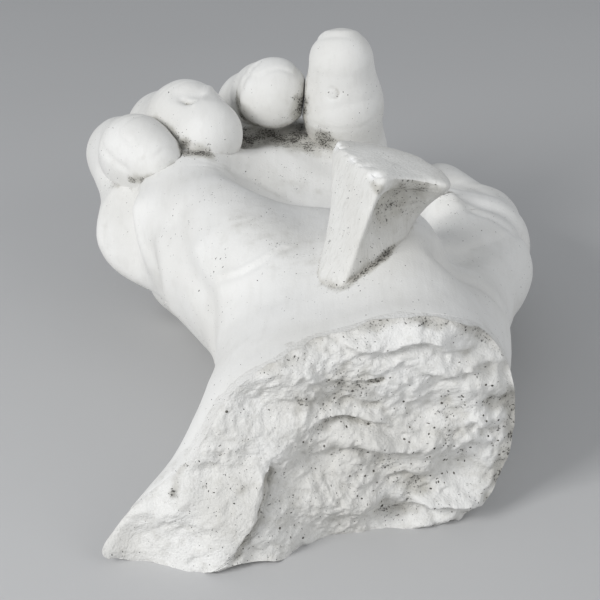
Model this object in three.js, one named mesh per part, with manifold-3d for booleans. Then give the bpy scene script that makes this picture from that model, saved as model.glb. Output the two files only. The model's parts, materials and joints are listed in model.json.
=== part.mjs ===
// A plaster cast of a right hand, palm up, broken off at the wrist.
// Millimetres, +Z up, the back of the hand on the ground, the fingers towards +Y and the thumb towards +X.
// The hand is hollow: two shells and a plug close round an iron armature, and the fingers, the thumb
// and the stub of a strut are cast on their own, pinned with wire or a dowel and set into sockets.

import * as THREE from "three";
import { mergeVertices } from "three/addons/utils/BufferGeometryUtils.js";
import Module from "manifold-3d";

const wasm = await Module();
wasm.setup();

const LARGE = 400;

// How a mesh is drawn onto its field
const PROBE = 0.05;
const SETTLE_TURNS = 3;
const LEAST_SLOPE = 0.1;

// Walls, fits and the grids that the plaster is meshed on
const SHELL_WALL = 8;
const FIT_GAP = 0.3;
const NEIGHBOUR_GAP = 0.8;
const HAND_CELL = 6.8;
const DIGIT_CELL = 5.2;
const HOLLOW_CELL = 8.6;
const BODY_ROOM = 45;
const ROOT_CUT_WIDTH = 1.2;

// The forearm stub: its bones from front to back, the flare at its outer side and the fillet between them
const FOREARM_BACK = -75;
const FOREARM_BONES = [
  { front: [0, 2, 27], drift: 4, radius: 22 },
  { front: [27, -2, 32], drift: -2, radius: 24.5 },
  { front: [14, -4, 21], drift: 0, radius: 22 },
  { front: [30, -12, 16], drift: 0, radius: 17 },
];
const FLARE_ROOT = [-7, -36, 18];
const FLARE_END = [-46, -66, -3];
const FLARE_RADII = [18, 8];
const FOREARM_FILLET = 14;

// The palm: metacarpals fan out from the wrist, pads and mounds of flesh lie on them, a web of plaster fills
// the gaps between the fingers, and valleys part the mounds from the knuckles
const WRIST_ROOTS = {
  little: { place: [3, 4, 26], radius: 13 },
  ring: { place: [5, 8, 24], radius: 19 },
  middle: { place: [12, 8, 24], radius: 20 },
  index: { place: [22, 8, 25], radius: 20 },
  thumb: { place: [34, 4, 27], radius: 18 },
};
const PALM_FILLET = 12;
const PAD_BACK = 12;
const PADS = {
  little: { height: 38, radius: 10.5 },
  ring: { height: 41.5, radius: 13 },
  middle: { height: 38, radius: 13 },
  index: { height: 36, radius: 13 },
};
const PAD_RIDGE_SHRINK = 1;
const WEB = { places: [[-22, 104, 40], [-6, 105, 41], [15, 97, 42]], radius: 12.5 };
const HYPOTHENAR = { centre: [-19, 35, 37.5], radii: [18.5, 50, 21], heading: 26 };
const THENAR = { centre: [23, 4, 37], radii: [18.5, 37, 23.5], heading: -6 };
const PALM_HEEL = { centre: [4, 26, 34], radii: [26, 33, 20.5], heading: 14 };
const MOUND_FILLET = 8;
const CORE_FILLET = 14;
const PALM_HOLLOW = { centre: [6, 63, 63], radii: [22, 19, 19], heading: 10 };
const HOLLOW_FILLET = 12;
const VALLEYS = {
  knuckle: { places: [[-53, 58, 44], [-53, 50, 36], [-52, 44, 28], [-51, 41, 20]], radius: 8, fillet: 6 },
  thumb: { places: [[45, 26, 64], [50, 2, 61.5], [60, -14, 59]], radius: 15, fillet: 8 },
};

// Digits: where the knuckle sits and how high its underside is, the length, rise and heading of each bone,
// and the radius at each joint. A heading of 0 points along +Y and one of 90 along +X. The joint face is at
// a share of the first bone.
const DIGITS = {
  little: {
    knuckle: [-45.5, 68], lift: 22, joint: 0.45, radii: [11.8, 10, 9.3, 8.6],
    lengths: [35, 26.5, 9], rises: [21.5, 20.5, -2], headings: [-17, 165, 140],
  },
  ring: {
    knuckle: [-30, 84], lift: -1, joint: 0.45, radii: [15.5, 12, 11.5, 10.8],
    lengths: [48.5, 30, 12], rises: [45, 23, -4], headings: [-22, 162, 147],
  },
  middle: {
    knuckle: [-5, 92], lift: -1, joint: 0.45, radii: [16.5, 11, 9.5, 10.2],
    lengths: [57, 29, 16], rises: [38, 24, 19], headings: [-14, 170, 168],
  },
  index: {
    knuckle: [21, 80], lift: -1, joint: 0.45, radii: [16.5, 12, 11.6, 10],
    lengths: [39, 23, 14.5], rises: [49.5, 60, 76], headings: [-14, 190, 190],
  },
  thumb: {
    knuckle: [50, 50], lift: 13, joint: 0.2, radii: [15.5, 12.5, 10.5],
    lengths: [45, 25], rises: [-3, 4], headings: [8, -36],
  },
};
const FINGER_ORDER = ["little", "ring", "middle", "index"];
const DIGIT_FILLET = 4;
const SOCKET_FILLET = 6;
const STUB_OVERRUN = 1.5;

// The break at the wrist: an upright rough face, with a flake left standing at its outer foot
const BREAK_PLACE = -45;
const BREAK_TURN = 11;
const BREAK_SLAB = [160, 90, 120];
const BREAK_STEP = 5;
const BREAK_RIDGES = { height: 0.85, spacing: 16, slant: 0.12 };
const BREAK_LUMPS = { height: 0.65, lengths: [20, 48], wander: 1.7, slant: 0.23 };
const FLAKE = { across: -17, width: 16, height: 20, depth: 12 };

// The seam between the shells, and what they hold
const SEAM_HEIGHT = 22;
const PLUG_DEPTH = 26;
const WAD_START = 50;
const WAD_LENGTH = 30;
const WAD_TOP = 32;
const SCRIM = { start: -6, length: 46, width: 10, thickness: 2.5 };
const SCRIM_SIDES = { ulnar: [-LARGE, -8], radial: [22, LARGE] };
const BAR_SECTION = [12, 6];
const BAR_START = [14, -36, 26];
const BAR_END = [0, 62, 18];
const WIRE_RADIUS = 2;
const WIRE_SIDES = 6;
const WIRE_STEPS = 9;
const WIRE_REACH = 16;
const WIRE_END_SHARE = 0.4;
const WIRE_BEND_SHARE = 0.3;

// The stub of the strut on the slope of the thenar: the corners of its top and of its foot, and how far each
// side bows out between them at the foot and at the top
const STRUT_TOP = { left: [7.2, 14, 81], front: [19.2, -17, 81], right: [35.2, -10, 77] };
const STRUT_FOOT = { left: [5.5, -12, 46], front: [8, -21, 46], right: [25.5, 24, 50] };
const STRUT_BULGES = { front: [1, 1], right: [5, -4], far: [7, 9] };
const STRUT_WAIST = 0.12;
const STRUT_BEDDING = 0.015;
const STRUT_SWELL = 1.16;
const STRUT_SIDE_STEPS = 5;
const STRUT_HEIGHT_STEPS = 6;
const DOWEL_RADIUS = 2.5;
const DOWEL_LENGTH = 30;
const DOWEL_BELOW_FOOT = 10;
const ROUND_SIDES = 20;

const degrees = THREE.MathUtils.degToRad;
const point = (place) => new THREE.Vector3(...place);

// Fields: each returns the distance to its surface, negative inside

/** A limb: a ball swept in a straight line from a to b, its radius running from ra to rb. */
function limb(a, b, ra, rb) {
  const along = new THREE.Vector3().subVectors(b, a);
  const lengthSquared = along.lengthSq();
  return (x, y, z) => {
    const dot = (x - a.x) * along.x + (y - a.y) * along.y + (z - a.z) * along.z;
    const t = Math.min(1, Math.max(0, dot / lengthSquared));
    const dx = x - a.x - along.x * t;
    const dy = y - a.y - along.y * t;
    const dz = z - a.z - along.z * t;
    return Math.sqrt(dx * dx + dy * dy + dz * dz) - (ra + (rb - ra) * t);
  };
}

/** A mound: an ellipsoid whose middle axis is turned from +Y towards -X by its heading. */
function mound({ centre, radii, heading }) {
  const c = Math.cos(degrees(heading));
  const s = Math.sin(degrees(heading));
  return (x, y, z) => {
    const dx = x - centre[0];
    const dy = y - centre[1];
    const u = (dx * c + dy * s) / radii[0];
    const v = (dy * c - dx * s) / radii[1];
    const w = (z - centre[2]) / radii[2];
    const reach = Math.hypot(u, v, w);
    const slope = Math.hypot(u / radii[0], v / radii[1], w / radii[2]);
    return slope > 0 ? (reach * (reach - 1)) / slope : -Math.min(...radii);
  };
}

/** Two distances joined with a fillet. */
function softMin(a, b, fillet) {
  const overlap = Math.max(fillet - Math.abs(a - b), 0) / fillet;
  return Math.min(a, b) - (overlap * overlap * fillet) / 4;
}

/** Fields melted together, one after the other, with a fillet. */
const melt = (fillet, fields) => (x, y, z) =>
  fields.reduce((distance, field) => softMin(distance, field(x, y, z), fillet), LARGE);

/** A field with a hollow pressed into it. */
const press = (fillet, field, tool) => (x, y, z) => -softMin(-field(x, y, z), tool(x, y, z), fillet);

// Solids

// A grid cell: its corners by their three bits, its edges, and the ring of corners round each face
const CORNERS = [0, 1, 2, 3, 4, 5, 6, 7].map((n) => [n & 1, (n >> 1) & 1, n >> 2]);
const EDGES = CORNERS.flatMap((_, n) => [1, 2, 4].filter((bit) => !(n & bit)).map((bit) => [n, n | bit]));
const FACES = [[1, 2, 4], [2, 4, 1], [4, 1, 2]].flatMap(([p, q, side]) =>
  [0, side].map((base) => [base, base | p, base | p | q, base | q]));
const edgeBetween = (a, b) => EDGES.findIndex(([m, n]) => m === Math.min(a, b) && n === Math.max(a, b));
const FACE_EDGES = FACES.map((ring) => ring.map((corner, n) => edgeBetween(corner, ring[(n + 1) % 4])));

/** The sheets of surface in a cell, each a list of crossed edges; separate corners have their own. */
function sheetsOf(held) {
  const inside = held.map((value) => value < 0);
  const sheet = EDGES.map(([a, b], n) => (inside[a] !== inside[b] ? n : -1));
  const join = (a, b) => {
    const [from, to] = [sheet[a], sheet[b]];
    sheet.forEach((value, n) => { if (value === from) sheet[n] = to; });
  };
  FACES.forEach((ring, face) => {
    const edges = FACE_EDGES[face];
    const crossed = edges.filter((edge) => sheet[edge] >= 0);
    if (crossed.length === 2) join(...crossed);
    if (crossed.length < 4) return;
    ring.forEach((corner, n) => { if (inside[corner]) join(edges[n], edges[(n + 3) % 4]); });
  });
  const names = [...new Set(sheet)].filter((name) => name >= 0);
  return names.map((name) => EDGES.map((_, n) => n).filter((n) => sheet[n] === name));
}

/** The closed mesh round a field: a vertex for each sheet of surface in a cell, drawn onto it. */
function wrapField(field, box, cell) {
  const low = box.min;
  const [nx, ny, nz] = ["x", "y", "z"].map((axis) => Math.ceil((box.max[axis] - low[axis]) / cell) + 1);
  const at = (i, j, k) => i + nx * (j + ny * k);
  const values = new Float32Array(nx * ny * nz);
  const eachNode = (first, visit) => {
    for (let k = first; k < nz - 1; k += 1) {
      for (let j = first; j < ny - 1; j += 1) {
        for (let i = first; i < nx - 1; i += 1) visit(i, j, k);
      }
    }
  };
  values.fill(1);
  eachNode(2, (i, j, k) => {
    values[at(i, j, k)] = field(low.x + i * cell, low.y + j * cell, low.z + k * cell);
  });
  const positions = [];
  const vertexOf = new Map();
  eachNode(0, (i, j, k) => {
    const held = CORNERS.map(([a, b, c]) => values[at(i + a, j + b, k + c)]);
    if (held.every((value) => value < 0 === held[0] < 0)) return;
    for (const edges of sheetsOf(held)) {
      const middle = new THREE.Vector3();
      for (const edge of edges) {
        const [a, b] = EDGES[edge];
        const crossing = point(CORNERS[a]).lerp(point(CORNERS[b]), held[a] / (held[a] - held[b]));
        middle.addScaledVector(crossing, 1 / edges.length);
        vertexOf.set(at(i, j, k) * EDGES.length + edge, positions.length / 3);
      }
      middle.add(new THREE.Vector3(i, j, k)).multiplyScalar(cell).add(low);
      settle(middle, field, cell);
      positions.push(middle.x, middle.y, middle.z);
    }
  });
  const index = [];
  eachNode(1, (i, j, k) => {
    const here = values[at(i, j, k)] < 0;
    [1, 2, 4].forEach((bit, axis) => {
      const step = CORNERS[bit];
      if (here === values[at(i + step[0], j + step[1], k + step[2])] < 0) return;
      const p = [1, 2, 4][(axis + 1) % 3];
      const q = [1, 2, 4][(axis + 2) % 3];
      const ring = [0, p, p | q, q].map((away) => {
        const [a, b, c] = CORNERS[away];
        return vertexOf.get(at(i - a, j - b, k - c) * EDGES.length + edgeBetween(away, away | bit));
      });
      if (!here) ring.reverse();
      index.push(...splitQuad(ring, positions));
    });
  });
  const geometry = new THREE.BufferGeometry();
  geometry.setAttribute("position", new THREE.Float32BufferAttribute(positions, 3));
  geometry.setIndex(index);
  return geometry;
}

/** The slope of a field at a place. */
function slopeOf(field, { x, y, z }) {
  return new THREE.Vector3(
    field(x + PROBE, y, z) - field(x - PROBE, y, z),
    field(x, y + PROBE, z) - field(x, y - PROBE, z),
    field(x, y, z + PROBE) - field(x, y, z - PROBE),
  ).divideScalar(2 * PROBE);
}

/** Draws a place onto the surface of a field along its slope, by no more than half a cell. */
function settle(place, field, cell) {
  const start = place.clone();
  for (let turn = 0; turn < SETTLE_TURNS; turn += 1) {
    const slope = slopeOf(field, place);
    place.addScaledVector(slope, -field(...place) / Math.max(slope.lengthSq(), LEAST_SLOPE));
  }
  const move = place.clone().sub(start).clampLength(0, cell / 2);
  place.copy(start).add(move);
}

/** The solid of a closed mesh with every vertex moved out along its normal, weighted by corner angles. */
function solidMovedOut(geometry, distance) {
  const moved = geometry.clone();
  const { position } = moved.attributes;
  const placeAt = (_, n) => new THREE.Vector3().fromBufferAttribute(position, n);
  const places = Array.from({ length: position.count }, placeAt);
  const normals = places.map(() => new THREE.Vector3());
  const index = moved.index.array;
  for (let n = 0; n < index.length; n += 3) {
    const corners = [...index.slice(n, n + 3)];
    const face = new THREE.Triangle(...corners.map((corner) => places[corner]));
    const normal = face.getNormal(new THREE.Vector3());
    corners.forEach((corner, turn) => {
      const ahead = places[corners[(turn + 1) % 3]].clone().sub(places[corner]);
      const behind = places[corners[(turn + 2) % 3]].clone().sub(places[corner]);
      normals[corner].addScaledVector(normal, ahead.angleTo(behind));
    });
  }
  places.forEach((place, n) => place.addScaledVector(normals[n].normalize(), distance));
  position.array.set(places.flatMap((place) => [...place]));
  return solidOf(moved);
}

/** Two triangles from four vertices, split along the shorter diagonal. */
function splitQuad([a, b, c, d], positions) {
  const placeOf = (n) => new THREE.Vector3().fromArray(positions, 3 * n);
  const gap = (m, n) => placeOf(m).distanceTo(placeOf(n));
  return gap(a, c) <= gap(b, d) ? [a, b, c, a, c, d] : [a, b, d, b, c, d];
}

/** The solid of a closed geometry, whose shared vertices are merged first where they have normals. */
function solidOf(geometry) {
  const bare = geometry.clone();
  const shaded = bare.hasAttribute("normal");
  bare.deleteAttribute("normal");
  bare.deleteAttribute("uv");
  const welded = shaded ? mergeVertices(bare) : bare;
  return new wasm.Manifold(new wasm.Mesh({
    numProp: 3,
    vertProperties: new Float32Array(welded.attributes.position.array),
    triVerts: new Uint32Array(welded.index.array),
  }));
}

/** The geometry of a solid, for a mesh. */
function geometryOf(solid) {
  const { vertProperties, triVerts } = solid.getMesh();
  const geometry = new THREE.BufferGeometry();
  geometry.setAttribute("position", new THREE.Float32BufferAttribute(vertProperties, 3));
  geometry.setIndex([...triVerts]);
  geometry.computeVertexNormals();
  return geometry;
}

/** The largest body of a solid: a cut can leave a crumb beside it. */
function mainBody(solid) {
  const bodies = solid.decompose();
  return bodies.reduce((best, body) => (body.volume() > best.volume() ? body : best));
}

/** A box from its low and high corners. */
function block(low, high) {
  const size = high.map((value, axis) => value - low[axis]);
  const geometry = new THREE.BoxGeometry(...size);
  geometry.translate(...low.map((value, axis) => value + size[axis] / 2));
  return solidOf(geometry);
}

/** A cylinder that starts at a place and runs along a direction. */
function rod(place, direction, radius, length) {
  const geometry = new THREE.CylinderGeometry(radius, radius, length, ROUND_SIDES);
  const up = new THREE.Vector3(0, 1, 0);
  geometry.translate(0, length / 2, 0);
  geometry.applyQuaternion(new THREE.Quaternion().setFromUnitVectors(up, direction));
  geometry.translate(place.x, place.y, place.z);
  return solidOf(geometry);
}

/** A bent round wire along a curve. */
function tube(curve, radius) {
  const circle = new THREE.EllipseCurve(0, 0, radius, radius);
  const section = new THREE.Shape(circle.getPoints(WIRE_SIDES).slice(0, -1));
  return solidOf(new THREE.ExtrudeGeometry(section, {
    steps: WIRE_STEPS, extrudePath: curve, bevelEnabled: false,
  }));
}

/** A box round places, with room for a surface at a distance from them. */
function boxRound(places, room) {
  return new THREE.Box3().setFromPoints(places).expandByScalar(room);
}

// The skeleton

/** The joints of a digit, from the knuckle to the tip. */
function jointsOf({ knuckle, lift, radii, lengths, rises, headings }) {
  const joints = [point([...knuckle, lift + radii[0]])];
  lengths.forEach((length, bone) => {
    const rise = degrees(rises[bone]);
    const heading = degrees(headings[bone]);
    const step = new THREE.Vector3(
      Math.sin(heading) * Math.cos(rise), Math.cos(heading) * Math.cos(rise), Math.sin(rise));
    joints.push(joints[bone].clone().addScaledVector(step, length));
  });
  return joints;
}

/** A digit's joints, its flesh as a field, and where its joint face is. */
function skeletonOf(digit) {
  const joints = jointsOf(digit);
  const { radii } = digit;
  const bones = digit.lengths.map((_, n) => limb(joints[n], joints[n + 1], radii[n], radii[n + 1]));
  const direction = joints[1].clone().sub(joints[0]).normalize();
  const face = joints[0].clone().lerp(joints[1], digit.joint);
  const faceRadius = THREE.MathUtils.lerp(radii[0], radii[1], digit.joint);
  return { joints, direction, face, faceRadius, firstBone: bones[0], flesh: melt(DIGIT_FILLET, bones) };
}

const names = Object.keys(DIGITS);
const skeletons = Object.fromEntries(names.map((name) => [name, skeletonOf(DIGITS[name])]));

// The body of the hand as one field

/** The bones of the forearm and the palm as limbs, thinned by a wall. */
function boneLimbs(wall) {
  const forearm = FOREARM_BONES.map(({ front, drift, radius }) => {
    const back = new THREE.Vector3(front[0] + drift, FOREARM_BACK, front[2]);
    return limb(back, point(front), radius - wall, radius - wall);
  });
  const palm = names.map((name) => {
    const { place, radius } = WRIST_ROOTS[name];
    return limb(point(place), skeletons[name].joints[0], radius - wall, DIGITS[name].radii[0] - wall);
  });
  return { forearm, palm };
}

/** Where the pad of flesh on the palm side of a finger's knuckle ends. */
function padEnd(name) {
  const knuckle = skeletons[name].joints[0];
  return new THREE.Vector3(knuckle.x, knuckle.y - PAD_BACK, PADS[name].height);
}

/** The pad of flesh on the palm side of a finger's knuckle. */
function fingerPad(name) {
  const { radius } = PADS[name];
  return limb(skeletons[name].joints[0], padEnd(name), radius, radius);
}

/** The ridge of flesh between a finger's pad and the next one. */
function padRidge(name, place) {
  const next = FINGER_ORDER[place + 1];
  const [radius, nextRadius] = [name, next].map((finger) => PADS[finger].radius - PAD_RIDGE_SHRINK);
  return limb(padEnd(name), padEnd(next), radius, nextRadius);
}

/** Limbs of one radius along a row of places. */
function limbRow(places, radius) {
  return places.slice(1).map((place, n) => limb(point(places[n]), point(place), radius, radius));
}

/** A field with valleys pressed into it. */
function withValleys(field) {
  return Object.values(VALLEYS).reduce((rest, { places, radius, fillet }) => {
    const row = limbRow(places, radius);
    return press(fillet, rest, (x, y, z) => Math.min(...row.map((tool) => tool(x, y, z))));
  }, field);
}

/** The start of a digit's first bone, cut a little past its joint face. */
function stub(name) {
  const { firstBone, face, direction } = skeletons[name];
  return (x, y, z) => {
    const past = (x - face.x) * direction.x + (y - face.y) * direction.y + (z - face.z) * direction.z;
    return Math.max(firstBone(x, y, z), past - STUB_OVERRUN);
  };
}

const flare = limb(point(FLARE_ROOT), point(FLARE_END), ...FLARE_RADII);
const bones = boneLimbs(0);
const forearm = melt(FOREARM_FILLET, [...bones.forearm, flare]);
const pads = [...FINGER_ORDER.map(fingerPad), ...FINGER_ORDER.slice(0, -1).map(padRidge)];
const frame = melt(PALM_FILLET, [forearm, ...bones.palm, ...pads, ...limbRow(WEB.places, WEB.radius)]);
const fleshed = melt(MOUND_FILLET, [frame, mound(HYPOTHENAR), mound(THENAR), mound(PALM_HEEL)]);
const body = withValleys(press(HOLLOW_FILLET, fleshed, mound(PALM_HOLLOW)));
const bodyWithStubs = melt(SOCKET_FILLET, [body, ...names.map(stub)]);
const thinned = boneLimbs(SHELL_WALL);
const core = melt(CORE_FILLET, [...thinned.forearm, ...thinned.palm]);
const knuckles = names.map((name) => skeletons[name].joints[0]);
const bodyBox = boxRound([new THREE.Vector3(FLARE_END[0], FOREARM_BACK, 0), ...knuckles], BODY_ROOM);

// Cuts that several pieces share

/** How far the break stands out at a place across and up its face. */
function roughness(across, up) {
  const turn = 2 * Math.PI;
  const [small, large] = BREAK_LUMPS.lengths;
  const ridge = Math.sin(((up + BREAK_RIDGES.slant * across) * turn) / BREAK_RIDGES.spacing);
  const wander = BREAK_LUMPS.wander * Math.sin((up * turn) / large);
  const fine = Math.sin((across * turn) / small + wander);
  const coarse = Math.sin((across * turn) / large - BREAK_LUMPS.slant * up);
  const flake = Math.exp(-(((across - FLAKE.across) / FLAKE.width) ** 2) - (up / FLAKE.height) ** 2);
  return BREAK_RIDGES.height * ridge + BREAK_LUMPS.height * (fine + coarse) - FLAKE.depth * flake;
}

/** The slab that takes the rest of the forearm away, rough on the side of the break. */
function breakSlab() {
  const [width, depth, height] = BREAK_SLAB;
  const slab = new THREE.BoxGeometry(width, depth, height, width / BREAK_STEP, 1, height / BREAK_STEP);
  const places = slab.attributes.position;
  for (let n = 0; n < places.count; n += 1) {
    if (places.getY(n) > 0) places.setY(n, depth / 2 + roughness(places.getX(n), places.getZ(n)));
  }
  slab.translate(0, -depth / 2, 0);
  slab.rotateZ(degrees(BREAK_TURN));
  slab.translate(0, BREAK_PLACE, 0);
  return solidOf(slab);
}

/** Everything in front of a face that lies behind the break and runs along it. */
function zoneBeforeBreak(behind) {
  const zone = new THREE.BoxGeometry(LARGE, LARGE, LARGE);
  zone.translate(0, behind - LARGE / 2, 0);
  zone.rotateZ(degrees(BREAK_TURN));
  zone.translate(0, BREAK_PLACE, 0);
  return solidOf(zone);
}

const rough = breakSlab();
const aboveSeam = block([-LARGE, -LARGE, SEAM_HEIGHT + FIT_GAP / 2], [LARGE, LARGE, LARGE]);
const belowSeam = block([-LARGE, -LARGE, 0], [LARGE, LARGE, SEAM_HEIGHT - FIT_GAP / 2]);

// Digits and their wires

/** A digit beyond its joint face, pressed flat against its neighbours, and the same with a fit round it. */
function digitSolids(name) {
  const { joints, direction, face, faceRadius, flesh } = skeletons[name];
  const place = FINGER_ORDER.indexOf(name);
  const neighbours = place < 0 ? [] : [FINGER_ORDER[place - 1], FINGER_ORDER[place + 1]].filter(Boolean);
  const others = neighbours.map((other) => skeletons[other].flesh);
  const pressed = (x, y, z) => {
    const own = flesh(x, y, z);
    return Math.max(own, ...others.map((other) => (own - other(x, y, z) + NEIGHBOUR_GAP) / 2));
  };
  const widest = Math.max(...DIGITS[name].radii);
  const skin = wrapField(pressed, boxRound(joints, widest + 3 * DIGIT_CELL), DIGIT_CELL);
  const length = joints[0].distanceTo(face) + ROOT_CUT_WIDTH * widest;
  return [0, FIT_GAP].map((fit) => {
    const start = face.clone().addScaledVector(direction, -length - fit);
    const root = rod(start, direction, ROOT_CUT_WIDTH * faceRadius, length);
    return mainBody(solidMovedOut(skin, fit).subtract(root));
  });
}

/** The line of the wire in a digit, from inside the hand to inside its end bone. */
function wireCurve(name) {
  const { joints } = skeletons[name];
  const [last, tip] = joints.slice(-2);
  const inner = point(WRIST_ROOTS[name].place).sub(joints[0]).setLength(WIRE_REACH).add(joints[0]);
  const bends = joints.slice(1, -1).flatMap((joint, n) =>
    [joints[n], joints[n + 2]].map((side) => joint.clone().lerp(side, WIRE_BEND_SHARE)));
  const places = [inner, joints[0], ...bends, last.clone().lerp(tip, WIRE_END_SHARE)];
  return new THREE.CatmullRomCurve3(places, false, "centripetal");
}

// The stub of the strut

const cornersOf = (corners) => Object.values(corners).map(point);
const middleOf = (places) => places.reduce((sum, place) => sum.add(place), new THREE.Vector3())
  .divideScalar(places.length);

/** One level of the strut: three bowed sides between its corners, swollen about their middle. */
function strutRing(share, swell) {
  const top = cornersOf(STRUT_TOP);
  const corners = cornersOf(STRUT_FOOT).map((place, n) => place.lerp(top[n], share));
  const centre = middleOf(corners);
  const scale = swell * (1 - STRUT_WAIST * Math.sin(Math.PI * share));
  corners.forEach((place) => place.sub(centre).multiplyScalar(scale).add(centre));
  return Object.values(STRUT_BULGES).flatMap((bulges, n) => {
    const bulge = THREE.MathUtils.lerp(...bulges, share);
    const from = corners[n];
    const to = corners[(n + 1) % corners.length];
    const out = new THREE.Vector3(to.y - from.y, from.x - to.x, 0).normalize();
    const middle = from.clone().lerp(to, 0.5).addScaledVector(out, 2 * bulge * swell);
    return new THREE.QuadraticBezierCurve3(from, middle, to).getPoints(STRUT_SIDE_STEPS).slice(0, -1);
  });
}

/** A closed skin over rings of places, with flat fans at both ends. */
function loft(rings) {
  const count = rings[0].length;
  const places = [...rings.flat(), middleOf(rings[0]), middleOf(rings.at(-1))];
  const top = (rings.length - 1) * count;
  const index = [];
  for (let n = 0; n < count; n += 1) {
    const next = (n + 1) % count;
    for (let base = 0; base < top; base += count) {
      index.push(base + n, base + next, base + count + next, base + n, base + count + next, base + count + n);
    }
    index.push(places.length - 2, next, n, places.length - 1, top + n, top + next);
  }
  const geometry = new THREE.BufferGeometry().setFromPoints(places);
  geometry.setIndex(index);
  return geometry;
}

const strutShares = Array.from({ length: STRUT_HEIGHT_STEPS + 1 }, (_, n) => n / STRUT_HEIGHT_STEPS);
const strut = solidOf(loft(strutShares.map((share) => strutRing(share, 1))));
const socketShares = [-STRUT_BEDDING, ...strutShares];
const strutSocket = solidOf(loft(socketShares.map((share) => strutRing(share, STRUT_SWELL))));

const strutFoot = middleOf(strutRing(0, 1));
const strutAxis = middleOf(strutRing(1, 1)).sub(strutFoot).normalize();

/** The dowel in the strut's foot, grown by a fit for its hole. */
function dowelSolid(fit) {
  const start = strutFoot.clone().addScaledVector(strutAxis, -DOWEL_BELOW_FOOT - fit);
  return rod(start, strutAxis, DOWEL_RADIUS + fit, DOWEL_LENGTH + 2 * fit);
}

/** The flat iron bar that runs from the plug to the wad, grown by a fit for its bed. */
function barSolid(fit) {
  const start = point(BAR_START);
  const along = point(BAR_END).sub(start);
  const [width, thickness] = BAR_SECTION;
  const up = new THREE.Vector3(0, 1, 0);
  const bar = new THREE.BoxGeometry(width + 2 * fit, along.length() + 2 * fit, thickness + 2 * fit);
  bar.translate(0, along.length() / 2, 0);
  bar.applyQuaternion(new THREE.Quaternion().setFromUnitVectors(up, along.normalize()));
  bar.translate(start.x, start.y, start.z);
  return solidOf(bar);
}

// The pieces

const hollowSkin = wrapField(core, bodyBox, HOLLOW_CELL);
const shellHollow = solidOf(hollowSkin);
const filling = solidMovedOut(hollowSkin, -FIT_GAP);
const scrimInside = solidMovedOut(hollowSkin, -FIT_GAP - SCRIM.thickness);
const digits = names.map(digitSolids);
const wires = names.map((name) => tube(wireCurve(name), WIRE_RADIUS));
const wireBeds = names.map((name) => tube(wireCurve(name), WIRE_RADIUS + FIT_GAP));
const barBed = barSolid(FIT_GAP);
const cutAll = (solid, tools) => tools.reduce((rest, tool) => rest.subtract(tool), solid);

const shell = cutAll(solidOf(wrapField(bodyWithStubs, bodyBox, HAND_CELL)), [
  rough, shellHollow, ...digits.map(([, socket]) => socket), ...wireBeds,
  strutSocket, dowelSolid(FIT_GAP),
]);
const plug = cutAll(filling.intersect(zoneBeforeBreak(PLUG_DEPTH)), [rough, barBed]);
const wadZone = block([-LARGE, WAD_START, -LARGE], [LARGE, WAD_START + WAD_LENGTH, WAD_TOP]);
const wad = cutAll(filling.intersect(wadZone), [...wireBeds, barBed]);
const scrim = cutAll(filling, [scrimInside, ...wireBeds]);

/** The strip of sacking over the seam on one side of the hollow. */
function scrimStrip([low, high]) {
  const { start, length, width } = SCRIM;
  const bottom = SEAM_HEIGHT - width / 2;
  return scrim.intersect(block([low, start, bottom], [high, start + length, bottom + width]));
}

const plaster = { color: "#e7e5df", roughness: 0.85, metalness: 0 };
const fillPlaster = { color: "#d8d4ca", roughness: 0.95, metalness: 0 };
const sacking = { color: "#b9a684", roughness: 1, metalness: 0 };
const iron = { color: "#5a4a40", roughness: 0.7, metalness: 0.8 };
const wood = { color: "#a98a5f", roughness: 0.8, metalness: 0 };

const hand = new THREE.Group();

function addPiece(name, solid, finish) {
  const piece = new THREE.Mesh(geometryOf(mainBody(solid)), new THREE.MeshStandardMaterial(finish));
  piece.name = name;
  hand.add(piece);
}

addPiece("palm_shell", shell.intersect(aboveSeam), plaster);
addPiece("back_shell", shell.intersect(belowSeam), plaster);
addPiece("wrist_plug", plug, fillPlaster);
names.forEach((name, n) => {
  const label = name === "thumb" ? name : `${name}_finger`;
  addPiece(label, digits[n][0].subtract(wireBeds[n]), plaster);
  addPiece(`${label}_wire`, wires[n], iron);
});
addPiece("strut_stub", strut.subtract(dowelSolid(FIT_GAP)), plaster);
addPiece("strut_dowel", dowelSolid(0), wood);
addPiece("armature_bar", barSolid(0), iron);
addPiece("knuckle_wad", wad, fillPlaster);
for (const [side, reach] of Object.entries(SCRIM_SIDES)) {
  addPiece(`${side}_seam_scrim`, scrimStrip(reach), sacking);
}

// The frame: the middle of the underside is the origin
const extent = new THREE.Box3().setFromObject(hand);
const centre = extent.getCenter(new THREE.Vector3());
hand.position.set(-centre.x, -centre.y, -extent.min.z);

export default hand;
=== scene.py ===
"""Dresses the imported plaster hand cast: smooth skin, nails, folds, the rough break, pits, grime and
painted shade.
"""

import json
import logging
import math
from collections.abc import Callable
from dataclasses import dataclass
from enum import Enum

import bmesh
import bpy
import numpy as np
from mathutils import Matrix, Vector
from mathutils.bvhtree import BVHTree


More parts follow.
